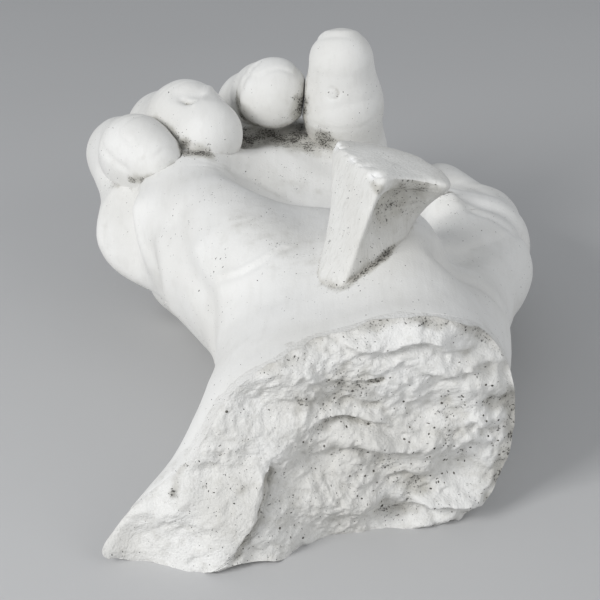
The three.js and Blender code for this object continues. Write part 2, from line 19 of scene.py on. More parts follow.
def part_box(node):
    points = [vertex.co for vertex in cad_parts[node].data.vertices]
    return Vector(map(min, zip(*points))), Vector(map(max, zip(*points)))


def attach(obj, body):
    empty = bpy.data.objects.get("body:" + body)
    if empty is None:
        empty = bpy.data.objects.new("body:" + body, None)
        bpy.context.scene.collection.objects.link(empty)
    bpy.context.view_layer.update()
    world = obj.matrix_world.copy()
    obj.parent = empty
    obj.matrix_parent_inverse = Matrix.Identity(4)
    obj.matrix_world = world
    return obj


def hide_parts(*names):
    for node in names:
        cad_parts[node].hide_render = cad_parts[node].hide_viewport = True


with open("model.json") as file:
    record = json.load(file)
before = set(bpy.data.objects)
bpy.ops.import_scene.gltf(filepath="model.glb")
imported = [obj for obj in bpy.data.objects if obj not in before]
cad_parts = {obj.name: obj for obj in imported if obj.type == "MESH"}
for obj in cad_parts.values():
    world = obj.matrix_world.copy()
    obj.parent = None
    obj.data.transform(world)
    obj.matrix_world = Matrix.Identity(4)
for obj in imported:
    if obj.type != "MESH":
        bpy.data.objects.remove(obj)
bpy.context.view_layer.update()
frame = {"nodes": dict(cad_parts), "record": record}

log = logging.getLogger("hand_cast")
Points = np.ndarray
Field = Callable[[Points], np.ndarray]
Pair = tuple[float, float]
Triple = tuple[float, float, float]
Colour = tuple[float, float, float, float]

MM = 0.001
BODY = "root"
SEED = 7
FAR = 400.0
TINY = 1e-9
LEAST_FILLET = 1e-6
WELD = 1e-6
DRAW_TURNS = 3
DRAW_STEP = 0.9
SKIN_CORE = 0.6
SKIN_FACING = (0.1, 0.5)
AXIS_TURN = 2.4
HASH_SEED = 374761393
HASH_START = 668265263
HASH_FACTORS = (2654435761, 2246822519, 3266489917)
HASH_MIX = np.uint64(2246822519)
HASH_BITS = np.uint64(0xFFFFFFFF)
DRAW_BITS = np.uint64(0xFFFF)


class Slot(Enum):
    """The record's material slots."""

    PLASTER = "plaster"
    FILL = "fill_plaster"
    SACKING = "sacking"
    IRON = "iron"
    WOOD = "wood"


# Small mathematics


def unit(vector: Points) -> Points:
    """The vector at length one."""
    return vector / np.linalg.norm(vector)


def smoothstep(low: float, high: float, value: np.ndarray) -> np.ndarray:
    """An eased ramp from 0 at low to 1 at high."""
    share = np.clip((value - low) / (high - low), 0.0, 1.0)
    return share * share * (3.0 - 2.0 * share)


def bell(value: np.ndarray, width: float) -> np.ndarray:
    """A bell of height one and the given half width."""
    return np.exp(-((value / width) ** 2))


def lattice(cells: np.ndarray, seed: int) -> np.ndarray:
    """A fixed random number from -1 to 1 for each whole-numbered cell.

    Args:
        cells: Whole numbers, one row per cell.
        seed: The draw.

    Returns:
        One number per row.
    """
    mixed = np.full(len(cells), seed * HASH_SEED + HASH_START, np.uint64)
    for column, factor in zip(cells.T, HASH_FACTORS):
        mixed ^= column.astype(np.int64).astype(np.uint64) * np.uint64(factor)
        mixed = (mixed ^ (mixed >> np.uint64(15))) * HASH_MIX
        mixed = mixed & HASH_BITS
    mixed ^= mixed >> np.uint64(13)
    return (mixed & DRAW_BITS).astype(float) / (DRAW_BITS / 2.0) - 1.0


def turned_axes(count: int, seed: int) -> np.ndarray:
    """Axes turned by a draw, so that lumps of different draws don't line up.

    Args:
        count: How many axes.
        seed: The draw.

    Returns:
        One axis to each column.
    """
    axes = np.eye(count)
    for n in range(count - 1):
        angle = AXIS_TURN * seed + n
        cos, sin = math.cos(angle), math.sin(angle)
        turn = np.eye(count)
        turn[n:n + 2, n:n + 2] = ((cos, -sin), (sin, cos))
        axes = axes @ turn
    return axes


def lumps(points: Points, size: float, seed: int = SEED) -> np.ndarray:
    """Smooth random lumps.

    Args:
        points: Places in millimetres.
        size: The spacing of the lumps in millimetres.
        seed: The draw.

    Returns:
        A height from -1 to 1 for each place.
    """
    scaled = points @ turned_axes(points.shape[1], seed) / size
    base = np.floor(scaled)
    share = scaled - base
    share = share * share * (3.0 - 2.0 * share)
    total = np.zeros(len(points))
    for corner in range(2 ** points.shape[1]):
        bits = np.array([(corner >> axis) & 1 for axis in range(points.shape[1])])
        weight = np.prod(np.where(bits == 1, share, 1.0 - share), axis=1)
        total += weight * lattice(base + bits, seed)
    return total


def rough_lumps(points: Points, size: float, octaves: int, seed: int = SEED) -> np.ndarray:
    """Lumps with smaller lumps on them, each half the size and half the height."""
    return sum(lumps(points, size / 2**n, seed + n) / 2**n for n in range(octaves))


def crumbs(points: Points, size: float, seed: int = SEED) -> np.ndarray:
    """Lumps with creased tops, as on a crumbled face, from about -0.5 to 0.5."""
    return 0.5 - np.abs(lumps(points, size, seed)) + 0.25 * lumps(points, 0.6 * size, seed + 50)


def raised(least: float, share: np.ndarray) -> np.ndarray:
    """A share from 0 to 1, made to start from a least value."""
    return least + (1.0 - least) * share


@dataclass(frozen=True)
class Patches:
    """Uneven patches.

    Attributes:
        mean: The height between the patches.
        swing: How far the patches rise and fall.
        size: Their spacing in millimetres.
        octaves: How many sizes of lumps they have.
        draw: The draw that places them.
    """

    mean: float
    swing: float
    size: float
    octaves: int
    draw: int

    def at(self, points: Points) -> np.ndarray:
        """The height at each place."""
        return self.mean + self.swing * rough_lumps(points, self.size, self.octaves, SEED + self.draw)


# The skin of the hand as distance fields, in millimetres in the hand's own frame


def limb(start: Points, end: Points, start_radius: float, end_radius: float) -> Field:
    """A ball swept in a straight line, its radius running evenly from end to end.

    Args:
        start: The middle of the first ball.
        end: The middle of the last one.
        start_radius: The first ball's radius.
        end_radius: The last ball's radius.

    Returns:
        The limb's field.
    """
    start, end = np.asarray(start, float), np.asarray(end, float)
    along = end - start

    def distance(points: Points) -> np.ndarray:
        """How far each place is from the limb."""
        share = np.clip(((points - start) @ along) / (along @ along), 0.0, 1.0)
        gap = points - start - share[:, None] * along
        radius = start_radius + (end_radius - start_radius) * share
        return np.sqrt(np.einsum("ij,ij->i", gap, gap)) - radius

    return distance


def mound(centre: Points, radii: Points, heading: float) -> Field:
    """An ellipsoid whose middle axis is turned from +Y towards -X by a heading in degrees.

    Args:
        centre: Its middle.
        radii: Its half lengths along its three axes.
        heading: Its turn.

    Returns:
        The mound's field.
    """
    cos, sin = math.cos(math.radians(heading)), math.sin(math.radians(heading))
    turn = np.array([[cos, -sin, 0.0], [sin, cos, 0.0], [0.0, 0.0, 1.0]])

    def distance(points: Points) -> np.ndarray:
        """How far each place is from the mound."""
        scaled = ((points - np.asarray(centre)) @ turn) / np.asarray(radii)
        reach = np.linalg.norm(scaled, axis=1)
        slope = np.linalg.norm(scaled / np.asarray(radii), axis=1)
        return reach * (reach - 1.0) / np.maximum(slope, TINY)

    return distance


def soft_min(a: np.ndarray, b: np.ndarray, fillet: np.ndarray | float) -> np.ndarray:
    """Two distances joined with a fillet.

    Args:
        a: One distance.
        b: The other.
        fillet: How wide the fillet is.

    Returns:
        The joined distance.
    """
    fillet = np.maximum(fillet, LEAST_FILLET)
    overlap = np.maximum(fillet - np.abs(a - b), 0.0) / fillet
    return np.minimum(a, b) - overlap * overlap * fillet / 4.0


def melt(fillet: float, fields: list[Field]) -> Field:
    """Fields melted together, one after the other, with a fillet.

    Args:
        fillet: How wide the fillet is.
        fields: What is melted together.

    Returns:
        The field of them all.
    """

    def distance(points: Points) -> np.ndarray:
        """How far each place is from what is melted together."""
        total = np.full(len(points), FAR)
        for field in fields:
            total = soft_min(total, field(points), fillet)
        return total

    return distance


def limb_row(places: tuple, radius: float) -> list[Field]:
    """Limbs of one radius along a row of places."""
    return [limb(start, end, radius, radius) for start, end in zip(places, places[1:])]


def press(fillet: float, field: Field, tools: list[Field]) -> Field:
    """A field with a hollow pressed into it by tools that belong together.

    Args:
        fillet: How wide the rim's fillet is.
        field: What is pressed.
        tools: What presses it.

    Returns:
        The field of what is left.
    """

    def distance(points: Points) -> np.ndarray:
        """How far each place is from what is left."""
        tool = np.minimum.reduce([shape(points) for shape in tools])
        return -soft_min(-field(points), tool, fillet)

    return distance


def on_skin(skin: Field, points: Points, normals: Points, reach: float) -> np.ndarray:
    """How much each place belongs to a skin, from 0 to 1: near it and facing as it does.

    Args:
        skin: The skin's field.
        points: The places.
        normals: The way that the mesh faces at each place.
        reach: How far from the skin a place may be.

    Returns:
        A share for each place.
    """
    held = skin(points)
    share = smoothstep(reach, SKIN_CORE * reach, np.abs(held))
    near = share > 0.0
    facing = np.einsum("ij,ij->i", normals[near], slope_of(skin, points[near], held[near]))
    share[near] *= smoothstep(*SKIN_FACING, facing)
    return share


def slope_of(field: Field, points: Points, here: np.ndarray, step: float = 0.05) -> Points:
    """The unit slope of a field at places where its value is known."""
    slope = np.column_stack([field(points + step * axis) - here for axis in np.eye(3)])
    return slope / np.maximum(np.linalg.norm(slope, axis=1, keepdims=True), TINY)


def drawn_onto(skin: Field, points: Points, slope: Points, still: np.ndarray | bool = False,
               step: float = DRAW_STEP) -> Points:
    """Places drawn onto a skin.

    Args:
        skin: The skin's field.
        points: The places.
        slope: The way to draw each place along.
        still: Which places stay.
        step: How much of the distance each turn takes.

    Returns:
        The new places.
    """
    for _ in range(DRAW_TURNS):
        points = points - step * np.where(still, 0.0, skin(points))[:, None] * slope
    return points


@dataclass(frozen=True)
class Digit:
    """A finger or the thumb: where its knuckle is, its bones and its nail.

    The lengths are in millimetres and the angles in degrees, as in the part's source.
    """

    name: str
    node: str
    knuckle: Pair
    lift: float
    joint: float
    radii: tuple[float, ...]
    lengths: tuple[float, ...]
    rises: tuple[float, ...]
    headings: tuple[float, ...]
    root: Triple
    root_radius: float
    pad: Pair = (0.0, 0.0)
    nail: float = 1.0
    fillet: float = 4.0
    reach: float = 4.5
    swell: tuple = ()

    def joints(self) -> Points:
        """The joints from the knuckle to the tip."""
        places = [np.array([*self.knuckle, self.lift + self.radii[0]])]
        for length, rise, heading in zip(self.lengths, np.radians(self.rises), np.radians(self.headings)):
            flat = math.cos(rise)
            step = np.array([math.sin(heading) * flat, math.cos(heading) * flat, math.sin(rise)])
            places.append(places[-1] + length * step)
        return np.array(places)

    def bones(self) -> list[Field]:
        """The bones as limbs, from the knuckle to the tip."""
        joints = self.joints()
        pairs = zip(joints[:-1], joints[1:], self.radii[:-1], self.radii[1:])
        return [limb(*pair) for pair in pairs]

    def flesh(self) -> Field:
        """The whole digit as a field."""
        return melt(self.fillet, self.bones() + [limb(*span) for span in self.swell])

    def face(self) -> tuple[Points, Points]:
        """The middle of the joint face and its direction towards the tip."""
        joints = self.joints()
        return joints[0] + self.joint * (joints[1] - joints[0]), unit(joints[1] - joints[0])

    def past_face(self, points: Points) -> np.ndarray:
        """How far each place lies beyond the joint face."""
        face, direction = self.face()
        return (points - face) @ direction

    def off_root(self, points: Points) -> np.ndarray:
        """How far each place is from the bone that the joint face cuts."""
        return self.bones()[0](points)

    def hinge(self) -> Points:
        """The axis that the digit curls about."""
        joints = self.joints()
        return unit(np.cross(joints[1] - joints[0], joints[2] - joints[1]))


THUMB_SWELL = (
    ((44.5, 71.5, 33), (46.5, 82, 29), 11.8, 10.5),
    ((54.5, 70, 28), (57.5, 92, 23.5), 14.5, 11.8),
)
DIGITS = [
    Digit("little", "little_finger", knuckle=(-45.5, 68), lift=22, joint=0.45,
          radii=(11.8, 10, 9.3, 8.6), lengths=(35, 26.5, 9), rises=(21.5, 20.5, -2),
          headings=(-17, 165, 140), root=(3, 4, 26), root_radius=13, pad=(38, 10.5), nail=0.3, fillet=7.0),
    Digit("ring", "ring_finger", knuckle=(-30, 84), lift=-1, joint=0.45,
          radii=(15.5, 12, 11.5, 10.8), lengths=(48.5, 30, 12), rises=(45, 23, -4),
          headings=(-22, 162, 147), root=(5, 8, 24), root_radius=19, pad=(41.5, 13), nail=0.0),
    Digit("middle", "middle_finger", knuckle=(-5, 92), lift=-1, joint=0.45,
          radii=(16.5, 11, 9.6, 10.7), lengths=(57, 29, 16), rises=(38, 24, 19),
          headings=(-14, 170, 168), root=(12, 8, 24), root_radius=20, pad=(38, 13), nail=0.3),
    Digit("index", "index_finger", knuckle=(21, 80), lift=-1, joint=0.45,
          radii=(16.5, 12, 11.6, 9.7), lengths=(39, 23, 14.5), rises=(49.5, 60, 76),
          headings=(-14, 190, 190), root=(22, 8, 25), root_radius=20, pad=(36, 13)),
    Digit("thumb", "thumb", knuckle=(50, 50), lift=13, joint=0.2,
          radii=(15.5, 11.4, 10.2), lengths=(45, 25), rises=(-5, 3.5),
          headings=(8, -24), root=(34, 4, 27), root_radius=18, reach=11.0, swell=THUMB_SWELL),
]
FINGERS = DIGITS[:4]


@dataclass(frozen=True)
class Break:
    """The broken wrist face: its place and turn, its chisel ledges, its flake and its crust.

    Lengths are in millimetres, across the face and up from the ground. Of two numbers that a share
    runs between, the first is where it is 0 and the second where it is 1.
    """

    place: float = -45.0
    turn: float = 11.0
    ridges: Triple = (0.85, 16.0, 0.12)
    waves: tuple[float, float, float, float, float] = (0.65, 20.0, 48.0, 1.7, 0.23)
    flake: tuple[float, float, float, float] = (-17.0, 16.0, 20.0, 12.0)
    crust: float = 4.0
    warp: tuple[Patches, Patches] = (Patches(0.0, 1.6, 8.0, 1, 16), Patches(0.0, 1.6, 8.0, 1, 17))
    ledge_pitch: float = 7.4
    ledge_height: float = 2.6
    ledge_slant: float = 0.1
    ledge_wander: Patches = Patches(0.0, 2.4, 10.0, 3, 1)
    ledge_lip: Pair = (0.3, 0.36)
    ledge_side: Pair = (-10.0, 18.0)
    ledge_least: float = 0.12
    ledge_patches: Patches = Patches(0.4, 1.3, 7.5, 1, 2)
    ledge_stretch: Pair = (0.8, 1.0)
    ledge_most: float = 1.2
    stones: tuple = ((1.7, 15.0, 3), (1.0, 6.5, 4))
    crumb: tuple[float, float, int] = (0.6, 2.7, 5)
    grains: tuple[Patches, Patches] = (Patches(0.0, 0.3, 1.5, 1, 8), Patches(0.0, 0.2, 0.9, 1, 6))
    tail: Pair = (-20.0, 4.0)
    tail_least: float = 0.55
    step_line: tuple = ((-8.4, 21.5), (-10.2, 16.5), (-11.1, 12.6), (-16.3, 6.4), (-18.6, 1.0))
    step_height: float = 2.6
    step_ramp: Pair = (-0.4, 0.5)
    step_fade: float = 12.0
    step_wander: Patches = Patches(0.0, 0.8, 4.0, 2, 9)
    step_extent: Pair = (15.0, 9.0)
    step_groove: float = 2.2
    groove_place: float = 0.8
    groove_width: float = 0.9
    slot_place: Pair = (17.8, 41.2)
    slot_size: Triple = (1.4, 0.5, 1.5)
    slot_edge: Pair = (2.2, 0.6)
    slot_tilt: float = 0.05
    centre: Pair = (2.0, 18.0)
    spokes: int = 620
    rings: int = 124
    reach: float = 95.0
    toe: Pair = (-52.0, -38.0)
    toe_least: float = 0.25

    def axes(self) -> tuple[Points, Points, Points]:
        """The foot of the face, its direction across and its direction into the hand."""
        turn = math.radians(self.turn)
        across = np.array([math.cos(turn), math.sin(turn), 0.0])
        inwards = np.array([-math.sin(turn), math.cos(turn), 0.0])
        return np.array([0.0, self.place, 0.0]), across, inwards

    def flatten(self, points: Points) -> tuple[np.ndarray, np.ndarray, np.ndarray]:
        """Each place as across, up and depth behind the plane of the face."""
        foot, across, inwards = self.axes()
        return (points - foot) @ across, points[:, 2], (points - foot) @ inwards

    def place_at(self, across: np.ndarray, up: np.ndarray, depth: np.ndarray) -> Points:
        """The place of each across, up and depth.

        Args:
            across: How far across the face each place is.
            up: How far up from the ground.
            depth: How far behind the plane of the face.

        Returns:
            One place to a row.
        """
        foot, sideways, inwards = self.axes()
        places = foot + across[:, None] * sideways + depth[:, None] * inwards
        places[:, 2] = up
        return places

    def main_form(self, across: np.ndarray, up: np.ndarray) -> np.ndarray:
        """The depth of the face as the part's source cuts it.

        Args:
            across: How far across the face each place is.
            up: How far up from the ground.

        Returns:
            A depth for each place, less where the face stands out.
        """
        full = 2.0 * math.pi
        height, spacing, slant = self.ridges
        ridge = np.sin((up + slant * across) * full / spacing)
        wave, small, large, wander, lean = self.waves
        fine = np.sin(across * full / small + wander * np.sin(up * full / large))
        coarse = np.sin(across * full / large - lean * up)
        side, width, tall, deep = self.flake
        flake = np.exp(-(((across - side) / width) ** 2) - (up / tall) ** 2)
        return height * ridge + wave * (fine + coarse) - deep * flake

    def chisel_marks(self, across: np.ndarray, up: np.ndarray) -> np.ndarray:
        """How far chisel ledges, lumps and the flake's step stand out of the main form.

        Args:
            across: How far across the face each place is.
            up: How far up from the ground.

        Returns:
            A height for each place.
        """
        plan = np.column_stack((across, up))
        plan = plan + np.column_stack([patches.at(plan) for patches in self.warp])
        level = plan[:, 1] + self.ledge_slant * plan[:, 0] + self.ledge_wander.at(plan)
        share = level / self.ledge_pitch
        share = share - np.floor(share)
        rise, fall = self.ledge_lip
        lip = smoothstep(0.0, rise, share) * smoothstep(1.0, fall, share)
        right = raised(self.ledge_least, smoothstep(*self.ledge_side, across))
        strength = np.clip(self.ledge_patches.at(plan * self.ledge_stretch), 0.0, self.ledge_most)
        ledges = self.ledge_height * right * strength * lip
        stone = sum(height * crumbs(plan, size, SEED + draw) for height, size, draw in self.stones)
        height, size, draw = self.crumb
        grit = sum((patches.at(plan) for patches in self.grains), height * crumbs(plan, size, SEED + draw))
        rough = self.toe_calm(across) * raised(self.tail_least, smoothstep(*self.tail, across))
        return ledges + rough * (stone + grit) + self.flake_step(across, up)[0] - self.slot(across, up)

    def toe_calm(self, across: np.ndarray) -> np.ndarray:
        """How rough the face is towards the tail's smooth, worn toe, from 0 to 1."""
        return raised(self.toe_least, smoothstep(*self.toe, across))

    def flake_step(self, across: np.ndarray, up: np.ndarray) -> tuple[np.ndarray, np.ndarray]:
        """The step at the flake's right edge, and how near each place is to the groove below it.

        Args:
            across: How far across the face each place is.
            up: How far up from the ground.

        Returns:
            A height and a nearness from 0 to 1 for each place.
        """
        plan = np.column_stack((across, up))
        path = np.array(self.step_line)
        away = np.full(len(plan), FAR)
        for start, end in zip(path[:-1], path[1:]):
            along = end - start
            share = np.clip((plan - start) @ along / (along @ along), 0.0, 1.0)
            gap = plan - start - share[:, None] * along
            side = np.where(along[1] * gap[:, 0] < along[0] * gap[:, 1], -1.0, 1.0)
            reach = side * np.linalg.norm(gap, axis=1)
            away = np.where(np.abs(reach) < np.abs(away), reach, away)
        away = away + self.step_wander.at(plan)
        extent = smoothstep(*self.step_extent, np.linalg.norm(plan - path.mean(axis=0), axis=1))
        groove = extent * bell(away + self.groove_place, self.groove_width)
        stands = extent * smoothstep(*self.step_ramp, away) * bell(np.maximum(away, 0.0), self.step_fade)
        return self.step_height * stands - self.step_groove * groove, groove

    def slot(self, across: np.ndarray, up: np.ndarray) -> np.ndarray:
        """The depth of the small oblong slot.

        Args:
            across: How far across the face each place is.
            up: How far up from the ground.

        Returns:
            A depth for each place, 0 outside the slot.
        """
        half_length, half_width, depth = self.slot_size
        outer, inner = self.slot_edge
        along = across - self.slot_place[0]
        aside = up - self.slot_place[1] - self.slot_tilt * along
        gap = np.maximum(np.abs(along) - half_length, 0.0) ** 2 + aside**2
        return depth * smoothstep(outer * half_width, inner * half_width, np.sqrt(gap))


@dataclass(frozen=True)
class Furrow:
    """A fold or line in the skin, along a few places on it.

    Attributes:
        places: Points on the skin in millimetres.
        depth: How deep it is pressed in, or raised where negative.
        width: Its half width.
        dirt: How dark it is painted: grime, and in some folds painted shade.
    """

    places: tuple[Triple, ...]
    depth: float
    width: float
    dirt: float = 0.0

    def nearness(self, points: Points) -> np.ndarray:
        """How near each place is to the line, from 0 to 1.

        Args:
            points: The places.

        Returns:
            A share for each place.
        """
        path = np.asarray(self.places, float)
        gap = np.full(len(points), FAR)
        for start, end in zip(path[:-1], path[1:]):
            gap = np.minimum(gap, limb(start, end, 0.0, 0.0)(points))
        return bell(gap, self.width)


@dataclass(frozen=True)
class Hand:
    """The skin of the whole hand, as the part's source melts it together."""

    forearm_back: float = -75.0
    forearm_bones: tuple = (((0, 2, 27), 4, 22), ((27, -2, 32), -2, 24.5), ((14, -4, 21), 0, 22),
                            ((30, -12, 16), 0, 17))
    flare: tuple = ((-7, -36, 18), (-46, -66, -3), 18, 8)
    forearm_fillet: float = 14.0
    palm_fillet: float = 12.0
    pad_back: float = 12.0
    ridge_shrink: float = 1.0
    web: tuple = ((-22, 104, 40), (-6, 105, 41), (15, 97, 42))
    web_radius: float = 12.5
    mounds: tuple = (((-19, 35, 37.5), (18.5, 50, 21), 26), ((23, 4, 37), (18.5, 37, 23.5), -6),
                     ((4, 26, 34), (26, 33, 20.5), 14))
    mound_fillet: float = 8.0
    palm_hollow: tuple = ((6, 63, 63), (22, 19, 19), 10)
    hollow_fillet: float = 12.0
    valleys: tuple = ((((-53, 58, 44), (-53, 50, 36), (-52, 44, 28), (-51, 41, 20)), 8, 6),
                      (((45, 26, 64), (50, 2, 61.5), (60, -14, 59)), 15, 8))
    socket_fillet: float = 6.0
    seam: float = 22.0
    neighbour_gap: float = 0.4
    lap: float = 0.12
    root_ease: Pair = (9.0, 1.5)
    side_ease: Pair = (4.0, 1.5)
    under_ease: Pair = (-2.8, -1.0)
    toe: Pair = (-34.0, -42.0)
    toe_fillet: float = 7.0

    def palm(self) -> Field:
        """The palm, the wrist and their mounds, with the hollow pressed in."""
        forearm = []
        for front, drift, radius in self.forearm_bones:
            back = (front[0] + drift, self.forearm_back, front[2])
            forearm.append(limb(back, front, radius, radius))
        forearm.append(limb(*self.flare))
        knuckles = [limb(digit.root, digit.joints()[0], digit.root_radius, digit.radii[0])
                    for digit in DIGITS]
        web = limb_row(self.web, self.web_radius)
        bare = melt(self.palm_fillet, [melt(self.forearm_fillet, forearm), *knuckles, *self.pads(), *web])
        fleshed = melt(self.mound_fillet, [bare, *(mound(*place) for place in self.mounds)])
        field = press(self.hollow_fillet, fleshed, [mound(*self.palm_hollow)])
        for places, radius, fillet in self.valleys:
            field = press(fillet, field, limb_row(places, radius))
        return field

    def pads(self) -> list[Field]:
        """The pads of flesh before the knuckles and the ridges between them."""
        knuckles = [digit.joints()[0] for digit in FINGERS]
        ends = [np.array([place[0], place[1] - self.pad_back, digit.pad[0]])
                for place, digit in zip(knuckles, FINGERS)]
        radii = [digit.pad[1] for digit in FINGERS]
        pads = [limb(*pair, radius, radius) for *pair, radius in zip(knuckles, ends, radii)]
        thin = [radius - self.ridge_shrink for radius in radii]
        return pads + [limb(*span) for span in zip(ends, ends[1:], thin, thin[1:])]

    def shell_skin(self) -> Field:
        """The skin of the shells, with the roots of the digits melted in."""
        field = melt(self.socket_fillet, [self.palm(), *(digit.bones()[0] for digit in DIGITS)])

        def distance(points: Points) -> np.ndarray:
            """How far each place is from the shells, worn round at the tail's toe on the ground."""
            worn = self.toe_fillet * smoothstep(*self.toe, points[:, 0])
            held = field(points)
            return np.where(worn > 0.0, -soft_min(-held, points[:, 2], worn), held)

        return distance

    def digit_skin(self, digit: Digit) -> Field:
        """The skin of a digit, pressed flat against its neighbours and flowing into its root.

        Args:
            digit: The finger or the thumb.

        Returns:
            The digit's field.
        """
        order = FINGERS.index(digit) if digit in FINGERS else -1
        beside = [] if order < 0 else [n for n in (order - 1, order + 1) if 0 <= n < len(FINGERS)]
        others = [FINGERS[n].flesh() for n in beside]
        flesh, shell = digit.flesh(), self.shell_skin()

        def distance(points: Points) -> np.ndarray:
            """How far each place is from the digit."""
            own = flesh(points)
            for other in others:
                own = np.maximum(own, (own - other(points) + self.neighbour_gap) / 2.0)
            ease = smoothstep(*self.root_ease, digit.past_face(points))
            ease = ease * smoothstep(*self.side_ease, digit.off_root(points) - own)
            step = shell(points) - own
            under = smoothstep(*self.under_ease, step) * np.minimum(step + self.lap, 0.0)
            return own + under + ease * np.maximum(step, 0.0)

        return distance

    def whole(self) -> Field:
        """The palm and all the digits, for how deep a place is among them."""
        fields = [self.palm(), *(digit.flesh() for digit in DIGITS)]
        return lambda points: np.minimum.reduce([field(points) for field in fields])


# Folds, ridges, grime and painted shade, along places in the hand's own millimetres


THUMB_FOLD = ((44.1, 69.3, 44.6), (47, 64.7, 42.9), (51.4, 52.4, 45.2), (56.7, 48.5, 44.1),
              (60.9, 47.2, 41.2), (66.7, 62.2, 32.5))
WEB = Furrow(((43.5, 63, 40), (38, 65.5, 40), (35, 67, 43)), -6.5, 5.5)
INDEX_ROOT = Furrow(((1.8, 92, 54.2), (4, 88.6, 52.8), (8.5, 86.6, 51.3), (14, 86, 50.5)), -1.3, 2.6)
THUMB_ROOT = Furrow(((40.4, 64.6, 40.2), (42.6, 65.6, 40.4)), -1.6, 2.2)
PALM_LINES = (
    INDEX_ROOT,
    THUMB_ROOT,
    # The crease of the wrist and the fine ridge before it
    Furrow(((-20.5, 6, 46), (-15.3, 2.7, 49.4), (-11.4, 2.6, 51.7), (-7.6, 4.2, 53.5), (-3.8, 7, 54.6)),
           -0.3, 0.7),
    Furrow(((-20.5, 4.5, 45.5), (-15.3, 1.2, 48.9), (-11.4, 1, 51.2), (-3.8, 5.4, 54.2)), 0.4, 0.9, 0.12),
    # The outer side of the hand: its trough, its two swellings and the dent at the wrist
    Furrow(((-35, 34, 50), (-32.8, 25.4, 46.7), (-30.3, 18.3, 43), (-26.2, 10.6, 40)), 1.6, 5.0),
    Furrow(((-38.6, 35, 44), (-37.5, 31, 40), (-36.7, 28.7, 35), (-35.4, 28.8, 27)), -1.0, 4.0),
    Furrow(((-26.3, 16.5, 49), (-22.8, 9.2, 46.5), (-20.5, 4.3, 44.5)), -1.0, 4.5),
    Furrow(((-22.7, 4.7, 40), (-23, 2.9, 35.2), (-22.8, 1, 29)), 0.9, 4.0),
    # Behind the little finger's knuckle, and three fine creases before the fingers
    Furrow(((-47, 45, 46), (-44.8, 40.8, 40.5), (-43, 38.8, 38.4), (-41.6, 37, 34), (-41, 37, 26)),
           2.0, 4.5),
    Furrow(((-55.3, 66.6, 45), (-56.7, 64, 41), (-56.7, 60.3, 37.4), (-55.5, 57.3, 33)), 0.45, 1.6),
    Furrow(((-31.5, 59.3, 57), (-27.2, 59.8, 56.8), (-22.4, 60.8, 55)), 0.2, 0.4, 0.3),
    Furrow(((-28.8, 62.5, 57.3), (-23.7, 62.5, 55.8), (-18.9, 65.7, 52.8), (-14, 68.5, 50)),
           0.25, 0.45, 0.3),
    Furrow(((-25.4, 64, 56.8), (-20.4, 66, 54.2), (-15.6, 68.7, 51)), 0.2, 0.4, 0.3),
    # Round the ball of the thumb: folds, troughs and its crest, with painted shade in the folds' creases
    Furrow(THUMB_FOLD, 0.9, 1.8, 0.1),
    Furrow(((37, 16.5, 49.6), (41.8, 26.5, 45.1), (46.4, 31.3, 44), (52.7, 37.6, 43.1), (57.5, 42.9, 42.4)),
           0.35, 1.2, 0.12),
    Furrow(((35.7, -2.6, 54), (40.7, 15.8, 47.1), (45.8, 25.2, 43.9)), 1.2, 5.0, 0.12),
    Furrow(((36.2, -0.8, 53.2), (40.6, 1.2, 48.7), (46, 3.1, 45.1), (51.1, 0.8, 41)), 0.8, 3.0, 0.05),
    Furrow(((36.5, 13.5, 50.6), (47.6, 29.3, 43.6), (55.7, 39.6, 42.3)), 1.0, 4.0),
    Furrow(((28, 31, 53), (31, 23, 54), (34.5, 11, 54)), -2.6, 6.5),
    # The line across the palm
    Furrow(((-19.5, 65, 53), (-13, 68.5, 49.3), (-7.4, 68.5, 46), (2.9, 65.7, 42.2)), 0.7, 1.6, 0.1),
)
